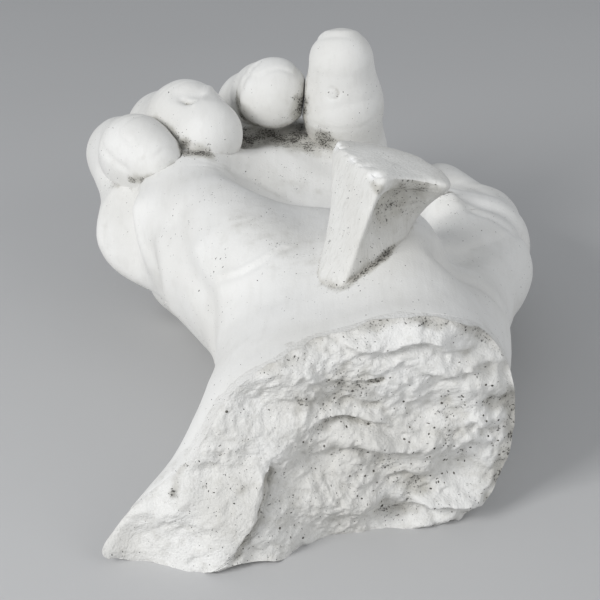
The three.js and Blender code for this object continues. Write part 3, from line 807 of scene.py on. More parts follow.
DIGIT_LINES = {
    "thumb": (
        THUMB_ROOT,
        # painted shade in the thumb's creases, by their dirt values
        Furrow(((47, 103.8, 35.1), (50.8, 100.7, 35.9), (54.7, 93.3, 37.4), (58.2, 83.7, 39.1)),
               0.4, 2.0, 0.08),
        Furrow(THUMB_FOLD, 0.9, 1.8, 0.1),
    ),
    "index": (
        INDEX_ROOT,
        # The filled ring on the pad, a fold below it, and the nail's edge with the skin behind it
        Furrow(((7.4, 81.6, 71.6), (8.3, 81.1, 73.1), (10.2, 80.9, 73.3), (11.5, 80.9, 72.0),
                (10.8, 81, 70.3), (8.6, 81.3, 69.9), (7.4, 81.6, 71.6)), 0.3, 0.5, 0.4),
        Furrow(((9.0, 81.1, 71.6), (10.0, 81.1, 71.6)), 0.15, 1.4, 0.3),
        Furrow(((5.4, 83, 65.1), (8.9, 81.2, 66.6), (12.7, 80.6, 67.8), (17.2, 81.5, 68.7),
                (21.5, 84.4, 69)), 0.2, 1.6),
        Furrow(((5.5, 89.5, 85), (7.6, 87, 86.6), (10, 85.9, 87.1), (12.3, 85.5, 87.2), (15, 85.6, 86.6),
                (17.5, 87.5, 85)), 0.35, 0.7, 0.12),
        Furrow(((7.5, 90, 87.6), (9.5, 88, 88.6), (12.3, 87.2, 88.9), (15, 88, 88.4), (16.5, 90, 87.4)),
               -0.45, 1.2),
    ),
    "middle": (
        Furrow(((-13.2, 94, 76.2), (-15.6, 92, 73.5), (-17.2, 91.5, 69.9), (-18.4, 96, 64)),
               0.9, 1.5, 0.15),
    ),
    "ring": (
        # The dimple in the tip, and the roll of skin beside it
        Furrow(((-35, 80.5, 70.4), (-33.6, 79.4, 70), (-31.5, 79, 70)), 0.9, 1.2, 0.3),
        Furrow(((-33.8, 79.5, 70), (-33.2, 79.2, 69.9)), 0.5, 0.7, 0.85),
        Furrow(((-36, 83, 71.5), (-30.5, 82, 71.3)), 1.0, 3.0),
        Furrow(((-30.9, 76.8, 69.7), (-29.1, 78.8, 70.5), (-27.7, 83.9, 71), (-27, 90, 71)), -0.6, 1.4),
        Furrow(((-31.6, 77.6, 69.7), (-30.0, 79.6, 70.5), (-28.9, 83, 71)), 0.3, 0.6, 0.3),
    ),
    "little": (
        Furrow(((-57.4, 71, 59), (-55.3, 67.5, 57.4), (-53, 65.5, 56), (-50.4, 63.5, 55.1)), 0.7, 1.2, 0.2),
    ),
}
GRIME = (
    # Between the fingers, on the palm, and on the stub with its foot; the wide patch on the palm left of the
    # stub is painted shade
    Furrow(((-17, 96, 52), (-10.8, 93.7, 53.7), (-1.5, 90.5, 54.1)), 0.0, 7.0, 1.0),
    Furrow(((0, 88.8, 65.8), (0.9, 97, 57), (2.4, 88.6, 53.1), (7.6, 86, 55.6)), 0.0, 4.8, 1.0),
    Furrow(((-19.1, 98.8, 64.9), (-18.2, 101, 58)), 0.0, 2.6, 0.95),
    Furrow(((-34, 69.5, 59.5), (-33.2, 68.1, 58.1), (-26.7, 66.5, 57.5)), 0.0, 2.8, 0.95),
    Furrow(((-48.7, 63.3, 51.8), (-45.5, 60.2, 52.4)), 0.0, 1.6, 0.8),
    Furrow(((-13.2, 68.5, 49.3), (4, 72, 45), (12, 70, 46)), 0.0, 5.0, 0.22),
    # painted shade: greys the palm's slope left of the stub, which is turned from the light
    Furrow(((-14, 20, 55), (-6, 8, 54.5), (1, 2, 53)), 0.0, 10.0, 0.25),
    Furrow(((17.5, -13.5, 79), (19.4, -16.5, 78)), 0.0, 1.5, 0.9),
    Furrow(((12.5, -17.9, 55.6), (16.9, -15.1, 57.8), (20.4, -12.1, 59.1), (24.7, 0.5, 60.8),
            (27.1, 5.6, 60.3)), 0.0, 1.5, 1.0),
)
BREAK_GRIME = (
    Furrow(((-27.2, -51.6, 24.5), (-28.3, -52.6, 21.9), (-29.2, -54.5, 18.8)), 0.0, 1.5, 0.75),
    Furrow(((-13.8, -52.3, 18.5), (-10.6, -51, 19), (-8.5, -50, 19.5)), 0.0, 1.6, 0.8),
)


# The hand in the frame


HAND = Hand()
BREAK = Break()
JOINT_LAP = 0.7
GROUNDED = 0.02
BAR_MIDDLE = (7.0, 13.0, 22.0)


def hand_shift() -> Points:
    """From the frame to the hand's own millimetres, found from the middle of the armature bar."""
    low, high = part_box("armature_bar")
    middle = np.array((low + high) / 2.0) / MM
    return np.array([*(np.array(BAR_MIDDLE) - middle)[:2], 0.0])


SHIFT = hand_shift()


def to_hand(metres: Points) -> Points:
    """Places in the frame, in the hand's own millimetres."""
    return metres / MM + SHIFT


def to_frame(millimetres: Points) -> Points:
    """Places in the hand's own millimetres, in the frame."""
    return (millimetres - SHIFT) * MM


# Meshes


def link(name: str, mesh: bpy.types.Mesh) -> bpy.types.Object:
    """A new object in the scene.

    Args:
        name: The object's name.
        mesh: Its mesh.

    Returns:
        The object.
    """
    obj = bpy.data.objects.new(name, mesh)
    bpy.context.scene.collection.objects.link(obj)
    return obj


def evaluated_mesh(obj: bpy.types.Object, name: str) -> bpy.types.Mesh:
    """The mesh of an object with its modifiers applied.

    Args:
        obj: The object.
        name: The new mesh's name.

    Returns:
        A mesh of its own.
    """
    graph = bpy.context.evaluated_depsgraph_get()
    mesh = bpy.data.meshes.new_from_object(obj.evaluated_get(graph), depsgraph=graph)
    mesh.name = name
    return mesh


def remeshed(node: str, voxel: float) -> bpy.types.Mesh:
    """An even mesh of a CAD node.

    Args:
        node: The node's name.
        voxel: The size of its faces in millimetres.

    Returns:
        A closed mesh of quads.
    """
    welded = bmesh.new()
    welded.from_mesh(frame["nodes"][node].data)
    bmesh.ops.remove_doubles(welded, verts=welded.verts, dist=WELD)
    mesh = bpy.data.meshes.new(node)
    welded.to_mesh(mesh)
    welded.free()
    obj = link(f"{node}_rough", mesh)
    modifier = obj.modifiers.new("even faces", "REMESH")
    modifier.mode = "VOXEL"
    modifier.voxel_size = voxel * MM
    even = evaluated_mesh(obj, node)
    bpy.data.objects.remove(obj)
    even.materials.clear()
    return even


def read_places(mesh: bpy.types.Mesh) -> Points:
    """The vertices of a mesh in the hand's own millimetres.

    Args:
        mesh: The mesh.

    Returns:
        One place to a row.
    """
    flat = np.empty(len(mesh.vertices) * 3)
    mesh.vertices.foreach_get("co", flat)
    return to_hand(flat.reshape(-1, 3))


def write_places(mesh: bpy.types.Mesh, points: Points) -> None:
    """Moves the vertices of a mesh to places in the hand's own millimetres."""
    mesh.vertices.foreach_set("co", to_frame(points).ravel())
    mesh.update()


def read_normals(mesh: bpy.types.Mesh) -> Points:
    """The vertex normals of a mesh.

    Args:
        mesh: The mesh.

    Returns:
        One normal to a row.
    """
    flat = np.empty(len(mesh.vertices) * 3)
    mesh.vertex_normals.foreach_get("vector", flat)
    return flat.reshape(-1, 3)


def smoothed(mesh: bpy.types.Mesh, points: Points, turns: int, weight: np.ndarray) -> Points:
    """Places drawn towards the middle of their neighbours.

    Args:
        mesh: The mesh that says which vertices are neighbours.
        points: The places of its vertices.
        turns: How often they are drawn.
        weight: How far each one is drawn, from 0 to 1.

    Returns:
        The new places.
    """
    pairs = np.empty(len(mesh.edges) * 2, int)
    mesh.edges.foreach_get("vertices", pairs)
    first, second = pairs[::2], pairs[1::2]
    count = np.maximum(np.bincount(pairs, minlength=len(points)), 1)
    for _ in range(turns):
        total = np.column_stack([
            np.bincount(first, points[second, axis], len(points))
            + np.bincount(second, points[first, axis], len(points)) for axis in range(3)
        ])
        points = points + weight[:, None] * (total / count[:, None] - points)
    return points


def set_attribute(mesh: bpy.types.Mesh, name: str, values: np.ndarray) -> None:
    """Keeps a number for each vertex, for the finishes to read."""
    layer = mesh.attributes.new(name, "FLOAT", "POINT")
    layer.data.foreach_set("value", np.clip(values, 0.0, 1.0).astype(np.float32))


def shade(mesh: bpy.types.Mesh, sharp_angle: float = 50.0) -> None:
    """Smooth shading, with edges sharper than an angle in degrees left sharp."""
    mesh.shade_smooth()
    mesh.set_sharp_from_angle(angle=math.radians(sharp_angle))


# Finishes


class Nodes:
    """A material's node tree, with short ways to add and join nodes."""

    MIX_INPUTS = (0, 6, 7)
    MIX_OUTPUT = 2

    def __init__(self, name: str) -> None:
        """Starts a material with one principled shader."""
        self.material = bpy.data.materials.new(name)
        self.material.use_nodes = True
        self.tree = self.material.node_tree
        self.shader = self.tree.nodes["Principled BSDF"]
        self.place = self.add("ShaderNodeTexCoord").outputs["Object"]

    def add(self, kind: str, settings: dict | None = None, **inputs: object) -> bpy.types.Node:
        """Adds a node.

        Args:
            kind: The node's type.
            settings: Its own settings by name.
            inputs: Its inputs by name, each a value or another node's output.

        Returns:
            The node.
        """
        node = self.tree.nodes.new(kind)
        for name, value in (settings or {}).items():
            setattr(node, name, value)
        for name, value in inputs.items():
            self.set(node.inputs[name.replace("_", " ")], value)
        return node

    def set(self, socket: bpy.types.NodeSocket, value: object) -> None:
        """Gives a socket a value or links an output to it.

        Args:
            socket: The input.
            value: A value, or another node's output.
        """
        if isinstance(value, bpy.types.NodeSocket):
            self.tree.links.new(value, socket)
        else:
            socket.default_value = value

    def noise(self, scale: float, detail: float = 2.0,
              stretch: tuple | None = None) -> bpy.types.NodeSocket:
        """Noise over the object, with its scale per metre and a stretch along each axis.

        Args:
            scale: The scale per metre.
            detail: How fine it is.
            stretch: The stretch, if any.

        Returns:
            The output that holds it.
        """
        place = self.place
        if stretch:
            place = self.add("ShaderNodeMapping", Vector=place, Scale=stretch).outputs["Vector"]
        return self.add("ShaderNodeTexNoise", Vector=place, Scale=scale, Detail=detail).outputs["Fac"]

    def ramp(self, value: bpy.types.NodeSocket, low: float, high: float) -> bpy.types.NodeSocket:
        """An eased ramp from 0 at low to 1 at high.

        Args:
            value: The number.
            low: Where the ramp begins.
            high: Where it ends.

        Returns:
            The output that holds it.
        """
        node = self.add("ShaderNodeMapRange", {"interpolation_type": "SMOOTHSTEP"}, Value=value)
        self.set(node.inputs["From Min"], low)
        self.set(node.inputs["From Max"], high)
        return node.outputs["Result"]

    def math(self, operation: str, a: object, b: object) -> bpy.types.NodeSocket:
        """One sum on two numbers.

        Args:
            operation: The sum's name.
            a: The first number.
            b: The second number.

        Returns:
            The output that holds it.
        """
        node = self.add("ShaderNodeMath", {"operation": operation})
        self.set(node.inputs[0], a)
        self.set(node.inputs[1], b)
        return node.outputs["Value"]

    def spread(self, noise: bpy.types.NodeSocket, width: float) -> bpy.types.NodeSocket:
        """Noise moved to lie about zero and spread over a width."""
        return self.math("MULTIPLY", self.math("SUBTRACT", noise, 0.5), width)

    def mix(self, share: object, first: object, second: object) -> bpy.types.NodeSocket:
        """Two colours mixed.

        Args:
            share: How much of the second colour there is.
            first: The first colour.
            second: The second colour.

        Returns:
            The output that holds it.
        """
        node = self.add("ShaderNodeMix", {"data_type": "RGBA"})
        for socket, value in zip(self.MIX_INPUTS, (share, first, second)):
            self.set(node.inputs[socket], value)
        return node.outputs[self.MIX_OUTPUT]

    def attribute(self, name: str) -> bpy.types.NodeSocket:
        """A number that the mesh keeps for each vertex."""
        return self.add("ShaderNodeAttribute", {"attribute_name": name}).outputs["Fac"]

    def bump(self, height: bpy.types.NodeSocket, strength: float, depth: float,
             below: bpy.types.NodeSocket | None = None) -> bpy.types.NodeSocket:
        """A bump on the shader's normal, with its depth in metres.

        Args:
            height: What raises it.
            strength: How strong it is.
            depth: Its depth.
            below: Another bump that it lies on.

        Returns:
            The output that holds it.
        """
        node = self.add("ShaderNodeBump", Height=height, Strength=strength, Distance=depth)
        if below is not None:
            self.set(node.inputs["Normal"], below)
        return node.outputs["Normal"]


@dataclass(frozen=True)
class Coat:
    """A coat of dirt and painted shade that lies thicker, the higher a number and a noise are together.

    Attributes:
        scale: The noise's scale per metre.
        detail: The noise's detail.
        spread: How far the noise moves the coat's edge.
        low: Where the coat begins.
        high: Where it is full.
        strength: How much of its colour it has where it is full.
        stretch: The noise's stretch along each axis.
    """

    scale: float
    detail: float
    spread: float
    low: float
    high: float
    strength: float
    stretch: Triple | None = None

    def amount(self, nodes: Nodes, dirt: bpy.types.NodeSocket) -> bpy.types.NodeSocket:
        """The number and the noise together."""
        noise = nodes.noise(self.scale, self.detail, self.stretch)
        return nodes.math("ADD", dirt, nodes.spread(noise, self.spread))

    def lay(self, nodes: Nodes, amount: bpy.types.NodeSocket, base: bpy.types.NodeSocket,
            colour: tuple) -> bpy.types.NodeSocket:
        """The base with this coat's colour over it."""
        share = nodes.math("MULTIPLY", nodes.ramp(amount, self.low, self.high), self.strength)
        return nodes.mix(share, base, colour)


@dataclass(frozen=True)
class PlasterFinish:
    """Matte cast plaster: mottled off-white, greyed by handling, dark where grime has gathered and where
    shade is painted in.
    """

    name: str
    light: Colour
    dull: Colour
    speck_limit: float
    grain: float
    strokes: Triple = (1.0, 0.16, 0.5)
    stroke_depth: float = 0.0005
    stroke_bump: float = 0.22
    stain: float = 0.07
    grain_depth: float = 0.0003
    fresh: Colour = (0.9, 0.895, 0.88, 1.0)
    film: Colour = (0.46, 0.445, 0.40, 1.0)
    soot: Colour = (0.2, 0.19, 0.165, 1.0)
    grime: Colour = (0.035, 0.032, 0.028, 1.0)
    mottle_noise: Pair = (42.0, 5.0)
    mottle_ramp: Pair = (0.36, 0.66)
    stroke_noise: Pair = (520.0, 2.0)
    stroke_ramp: Pair = (0.5, 0.7)
    film_coat: Coat = Coat(310.0, 4.0, 0.9, 0.12, 0.75, 0.7)
    soot_coat: Coat = Coat(230.0, 3.0, 1.8, 0.45, 1.1, 0.6, (1.0, 1.0, 1.6))
    grime_coat: Coat = Coat(1900.0, 2.0, 3.2, 0.85, 1.2, 0.85)
    speck_noise: Pair = (1500.0, 1.0)
    speck_edge: float = 0.04
    cluster_noise: Pair = (55.0, 2.0)
    cluster_share: float = 0.22
    grain_noise: Pair = (1700.0, 3.0)
    roughness: float = 0.78
    specular: float = 0.35

    def build(self) -> bpy.types.Material:
        """The material."""
        nodes = Nodes(self.name)
        strokes = nodes.noise(*self.stroke_noise, self.strokes)
        nodes.set(nodes.shader.inputs["Base Color"], self.colour(nodes, strokes))
        nodes.shader.inputs["Roughness"].default_value = self.roughness
        nodes.shader.inputs["Specular IOR Level"].default_value = self.specular
        brushed = nodes.bump(strokes, self.stroke_bump, self.stroke_depth)
        grain = nodes.bump(nodes.noise(*self.grain_noise), self.grain, self.grain_depth, brushed)
        nodes.set(nodes.shader.inputs["Normal"], grain)
        return nodes.material

    def colour(self, nodes: Nodes, strokes: bpy.types.NodeSocket) -> bpy.types.NodeSocket:
        """The plaster's colour under its brushed stains, its coats of dirt and painted shade, and its
        specks.

        Args:
            nodes: The material's nodes.
            strokes: The noise of the brush strokes.

        Returns:
            The output that holds it.
        """
        mottle = nodes.ramp(nodes.noise(*self.mottle_noise), *self.mottle_ramp)
        base = nodes.mix(mottle, self.light, self.dull)
        stain = nodes.math("MULTIPLY", nodes.ramp(strokes, *self.stroke_ramp), self.stain)
        base = nodes.mix(stain, base, self.film)
        base = nodes.mix(nodes.attribute("fresh"), base, self.fresh)
        # the dirt attribute holds grime and painted shade in creases, folds and the stub's scooped side
        dirt = nodes.attribute("dirt")
        base = self.film_coat.lay(nodes, self.film_coat.amount(nodes, dirt), base, self.film)
        smudge = self.soot_coat.amount(nodes, dirt)
        base = self.soot_coat.lay(nodes, smudge, base, self.soot)
        base = self.grime_coat.lay(nodes, self.grime_coat.amount(nodes, smudge), base, self.grime)
        clusters = nodes.math("MULTIPLY", nodes.noise(*self.cluster_noise), self.cluster_share)
        flecks = nodes.math("ADD", nodes.noise(*self.speck_noise), clusters)
        specks = nodes.ramp(flecks, self.speck_limit, self.speck_limit + self.speck_edge)
        return nodes.mix(specks, base, self.grime)


@dataclass(frozen=True)
class PlainFinish:
    """A hidden piece's finish: two colours in streaks, with a fine bump."""

    name: str
    first: Colour
    second: Colour
    scale: float
    stretch: Triple
    roughness: float
    metallic: float = 0.0
    detail: float = 5.0
    streak_ramp: Pair = (0.35, 0.65)
    bump: Pair = (0.4, 0.0006)

    def build(self) -> bpy.types.Material:
        """The material."""
        nodes = Nodes(self.name)
        streaks = nodes.noise(self.scale, self.detail, self.stretch)
        colour = nodes.mix(nodes.ramp(streaks, *self.streak_ramp), self.first, self.second)
        nodes.set(nodes.shader.inputs["Base Color"], colour)
        nodes.shader.inputs["Roughness"].default_value = self.roughness
        nodes.shader.inputs["Metallic"].default_value = self.metallic
        nodes.set(nodes.shader.inputs["Normal"], nodes.bump(streaks, *self.bump))
        return nodes.material


EVEN = (1.0, 1.0, 1.0)
SKIN_PLASTER = PlasterFinish("cast_plaster", (0.83, 0.825, 0.805, 1), (0.76, 0.752, 0.725, 1), 0.87, 0.22)
STRUT_PLASTER = PlasterFinish("stub_plaster", (0.76, 0.755, 0.73, 1), (0.68, 0.67, 0.64, 1), 0.86, 0.3,
                              strokes=(2.6, 2.6, 0.12), stroke_depth=0.0009, stain=0.2)
BREAK_PLASTER = PlasterFinish("broken_plaster", (0.81, 0.805, 0.785, 1), (0.70, 0.69, 0.66, 1), 0.845, 0.7,
                              strokes=EVEN, stroke_depth=0.0009, stain=0.2, grain_depth=0.0005)
PIT_GRIME = PlainFinish("pit_grime", (0.03, 0.028, 0.025, 1), (0.16, 0.15, 0.13, 1), 900, EVEN, 0.95)
HIDDEN_FINISHES = {
    Slot.FILL: PlainFinish("filling", (0.68, 0.66, 0.6, 1), (0.58, 0.55, 0.49, 1), 200, EVEN, 0.95),
    Slot.SACKING: PlainFinish("scrim", (0.5, 0.4, 0.25, 1), (0.35, 0.27, 0.16, 1), 900, (1, 0.1, 1), 1.0),
    Slot.IRON: PlainFinish("black_iron", (0.1, 0.085, 0.075, 1), (0.2, 0.09, 0.045, 1), 260, EVEN, 0.7,
                           metallic=0.6),
    Slot.WOOD: PlainFinish("dowel_wood", (0.42, 0.28, 0.15, 1), (0.3, 0.18, 0.09, 1), 420, (1, 1, 0.08),
                           0.75),
}


# Pieces


@dataclass
class Piece:
    """Something that stands for a CAD node and rides on the hand."""

    node: str
    voxel: float = 0.0
    slot: Slot = Slot.PLASTER

    def finish_up(self, mesh: bpy.types.Mesh, material: bpy.types.Material) -> bpy.types.Object:
        """Dresses a mesh and puts it in the node's place.

        Args:
            mesh: The piece's mesh.
            material: The piece's finish.

        Returns:
            The piece's object.
        """
        mesh.materials.append(material)
        shade(mesh)
        obj = link(f"{self.node}_skin", mesh)
        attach(obj, BODY)
        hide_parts(self.node)
        log.info("%s: %d faces", obj.name, len(mesh.polygons))
        return obj


CREVICE_REACH = ((3.0, 0.5), (9.0, 0.4))
CREVICE_OPEN = 0.3
CREVICE_MOST = 0.6
CREVICE_PATCHES = Patches(0.6, 0.5, 6.0, 2, 71)
SKIN_LUMPS = (Patches(0.0, 0.15, 9.0, 2, 11), Patches(0.0, 0.035, 2.2, 1, 13))


def crevice_grime_and_shade(points: Points, slope: Points, whole: Field) -> np.ndarray:
    """How dark a place is painted: grime patches, and painted shade that deepens the closer other flesh
    stands in front of it.

    Args:
        points: The places.
        slope: The way that the skin faces there.
        whole: The whole hand's field.

    Returns:
        A share for each place.
    """
    # painted shade: a crevice is darkened as occlusion would shade it
    shut = sum(share * np.clip(1.0 - whole(points + reach * slope) / reach, 0.0, 1.0)
               for reach, share in CREVICE_REACH)
    crevice = np.clip(shut - CREVICE_OPEN, 0.0, CREVICE_MOST) * CREVICE_PATCHES.at(points)
    return np.maximum.reduce([crevice, *(patch.dirt * patch.nearness(points) for patch in GRIME)])


def skin_lumps(points: Points) -> np.ndarray:
    """The unevenness of the cast skin, the same on every piece so that their joints stay even."""
    return sum(patches.at(points) for patches in SKIN_LUMPS)


def lift_web(points: Points) -> Points:
    """Lifts the web of skin before the thumb, in every piece alike so that no joint opens."""
    lift = -WEB.depth * WEB.nearness(points)
    return points + lift[:, None] * (0.0, 0.0, 1.0)


@dataclass
class Stub:
    """Where the strut's stub stands, for the palm round its foot."""

    foot_middle: Triple = (13.0, -3.0, 47.0)
    top_middle: Triple = (20.5, -4.3, 80.0)
    socket_swell: float = 1.15
    socket_reach: Pair = (6.0, 0.6)
    margin: float = 9.0

    def from_axis(self, points: Points) -> Points:
        """How far and which way each place is from the stub's axis, level with the ground.

        Args:
            points: The places.

        Returns:
            One step to a row.
        """
        low, high = np.array(self.foot_middle), np.array(self.top_middle)
        share = (points[:, 2:] - low[2]) / (high[2] - low[2])
        return (points - (low + share * (high - low))) * (1.0, 1.0, 0.0)

    def near(self, points: Points) -> np.ndarray:
        """Which places are in a box round the stub."""
        low, high = (to_hand(np.array(corner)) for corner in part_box("strut_stub"))
        return np.flatnonzero(np.all((points > low - self.margin) & (points < high + self.margin), axis=1))

    def gaps(self, points: Points) -> np.ndarray:
        """How far each place is from the stub's surface.

        Args:
            points: The places.

        Returns:
            A distance for each place.
        """
        obj = frame["nodes"]["strut_stub"]
        places = [Vector(place) for place in read_places(obj.data)]
        surface = BVHTree.FromPolygons(places, [tuple(face.vertices) for face in obj.data.polygons])
        return np.array([surface.find_nearest(Vector(place))[3] for place in points])

    def close_socket(self, points: Points) -> Points:
        """Draws the palm round the stub's socket in to the stub.

        Args:
            points: The palm's vertices.

        Returns:
            The vertices' new places.
        """
        near = self.near(points)
        out = self.from_axis(points[near])
        inset = (1.0 - 1.0 / self.socket_swell) * out
        share = smoothstep(*self.socket_reach, self.gaps(points[near] - inset))
        points[near] -= share[:, None] * inset
        return points


STUB = Stub()


@dataclass
class Shell(Piece):
    """A half of the hollow hand: the palm side or the back."""

    furrows: tuple[Furrow, ...] = ()
    reach: float = 2.6
    seam_lap: float = 0.5
    seam_band: float = 0.45
    end_depth: float = 0.4
    root_band: Pair = (-0.9, 0.1)
    root_reach: float = 1.5
    socket_lap: float = 0.5
    socket_wall: Pair = (0.2, 0.9)
    ground_band: float = 0.05
    foot_dirt: Triple = (0.5, 1.0, 1.3)

    def build(self, material: bpy.types.Material) -> bpy.types.Object:
        """Makes the shell's mesh, smooth on its skin and flush at its joints.

        Args:
            material: The piece's finish.

        Returns:
            The piece's object.
        """
        mesh = remeshed(self.node, self.voxel)
        skin = HAND.shell_skin()
        points = self.close_joints(read_places(mesh), skin)
        points, closed = self.close_sockets(points)
        share = np.where(closed, 0.0, on_skin(skin, points, read_normals(mesh), self.reach))
        outer = share > 0.0
        dirt = np.zeros(len(points))
        places, slope = self.settle(points[outer], skin)
        places = points[outer] + share[outer, None] * (places - points[outer])
        dirt[outer] = crevice_grime_and_shade(places, slope, HAND.whole())
        height = share[outer] * self.relief(places)
        dirt[outer] = np.maximum(dirt[outer], self.furrow_grime_and_shade(places))
        dirt[outer] = np.maximum(dirt[outer], self.strut_dirt(places))
        moved = places + height[:, None] * slope
        moved[:, 2] = np.where(places[:, 2] < self.ground_band, places[:, 2], moved[:, 2])
        points[outer] = moved
        points[:, 2] = np.maximum(points[:, 2], 0.0)
        write_places(mesh, lift_web(points))
        set_attribute(mesh, "dirt", dirt)
        return self.finish_up(mesh, material)

    def close_joints(self, points: Points, skin: Field) -> Points:
        """Laps the faces at the seam and the digits' roots, and draws the ends in behind the crust.

        Args:
            points: The piece's vertices.
            skin: The field of the shells' skin.

        Returns:
            The vertices' new places.
        """
        at_seam = np.abs(points[:, 2] - HAND.seam) < self.seam_band
        points[at_seam, 2] = HAND.seam + self.seam_lap
        across, up, depth = BREAK.flatten(points)
        least = BREAK.main_form(across, up) + BREAK.crust
        points = BREAK.place_at(across, up, np.maximum(depth, least))
        ends = np.flatnonzero(depth < least)
        for _ in range(DRAW_TURNS):
            excess = skin(points[ends]) + self.end_depth
            spill = ends[excess > 0.0]
            excess = excess[excess > 0.0]
            slope = slope_of(skin, points[spill], excess - self.end_depth)
            points[spill] -= excess[:, None] * slope
        low, high = self.root_band
        for digit in DIGITS:
            past = digit.past_face(points)
            near = (past > low) & (past < high) & (digit.off_root(points) < self.root_reach)
            points[near] += (JOINT_LAP - past[near])[:, None] * digit.face()[1]
        return STUB.close_socket(points)

    def close_sockets(self, points: Points) -> tuple[Points, np.ndarray]:
        """Draws the walls of the digits' sockets in under the digits' skin.

        Args:
            points: The piece's vertices.

        Returns:
            The vertices' new places, and which of them were drawn in.
        """
        closed = np.zeros(len(points), bool)
        middle, reach = self.socket_wall
        for digit in DIGITS:
            flesh = digit.flesh()
            held = flesh(points)
            beyond = digit.past_face(points) > self.root_band[1]
            wall = np.flatnonzero(beyond & (np.abs(held - middle) < reach))
            slope = slope_of(flesh, points[wall], held[wall])
            points[wall] -= (held[wall] + self.socket_lap)[:, None] * slope
            closed[wall] = True
        return points, closed

    def settle(self, points: Points, skin: Field) -> tuple[Points, Points]:
        """Draws places onto the skin and returns them with the skin's slope there.

        Args:
            points: The places.
            skin: The field of the shells' skin.

        Returns:
            The new places, and the skin's slope there.
        """
        slope = slope_of(skin, points, skin(points))
        grounded = (points[:, 2] < GROUNDED) & (points[:, 0] > HAND.toe[0])
        slope[grounded] = (0.0, 0.0, -1.0)
        points = drawn_onto(skin, points, slope, grounded)
        points[:, 2] = np.maximum(points[:, 2], 0.0)
        return points, slope

    def relief(self, points: Points) -> np.ndarray:
        """How far the skin stands out at each place: lumps, folds and ridges.

        Args:
            points: The places.

        Returns:
            A height for each place.
        """
        height = skin_lumps(points)
        for furrow in self.furrows:
            height -= furrow.depth * furrow.nearness(points)
        return height

    def furrow_grime_and_shade(self, points: Points) -> np.ndarray:
        """The grime and painted shade in the folds.

        Args:
            points: The places.

        Returns:
            A share for each place.
        """
        total = np.zeros(len(points))
        for furrow in self.furrows:
            if furrow.dirt > 0:
                total = np.maximum(total, furrow.dirt * furrow.nearness(points))
        return total

    def strut_dirt(self, points: Points) -> np.ndarray:
        """The line of grime round the foot of the strut's stub.

        Args:
            points: The places.

        Returns:
            A share for each place.
        """
        near = STUB.near(points)
        dirt = np.zeros(len(points))
        most, clear, width = self.foot_dirt
        dirt[near] = most * bell(np.maximum(STUB.gaps(points[near]) - clear, 0.0), width)
        return dirt


@dataclass(frozen=True)
class Nail:
    """A nail: its outline in shares of the tip's radius, and its groove and fold in millimetres."""

    half_width: float = 0.66
    ends: Pair = (-0.85, 0.72)
    corner: float = 0.34
    facing: Pair = (0.1, 0.45)
    thickness: float = 0.45
    edge: float = 0.35
    groove: Triple = (0.75, 0.5, 0.55)
    fold: Triple = (0.3, 1.7, 0.9)
    fold_end: Pair = (0.6, 0.0)
    dirt: Triple = (0.4, 0.4, 0.5)

    def from_edge(self, aside: np.ndarray, along: np.ndarray) -> np.ndarray:
        """How far each place is from the nail's rounded outline, negative inside it.

        Args:
            aside: How far to the side each place is.
            along: How far towards the tip.

        Returns:
            A distance for each place.
        """
        low, high = self.ends
        across = np.abs(aside) - self.half_width + self.corner
        length = np.abs(along - (low + high) / 2.0) - (high - low) / 2.0 + self.corner
        outside = np.hypot(np.maximum(across, 0), np.maximum(length, 0))
        return outside + np.minimum(np.maximum(across, length), 0) - self.corner

    def rim(self, shape: Triple, gap: np.ndarray) -> np.ndarray:
        """A ring round the nail, given as its height, its place and its half width."""
        height, place, width = shape
        return height * bell(gap - place, width)


NAIL = Nail()


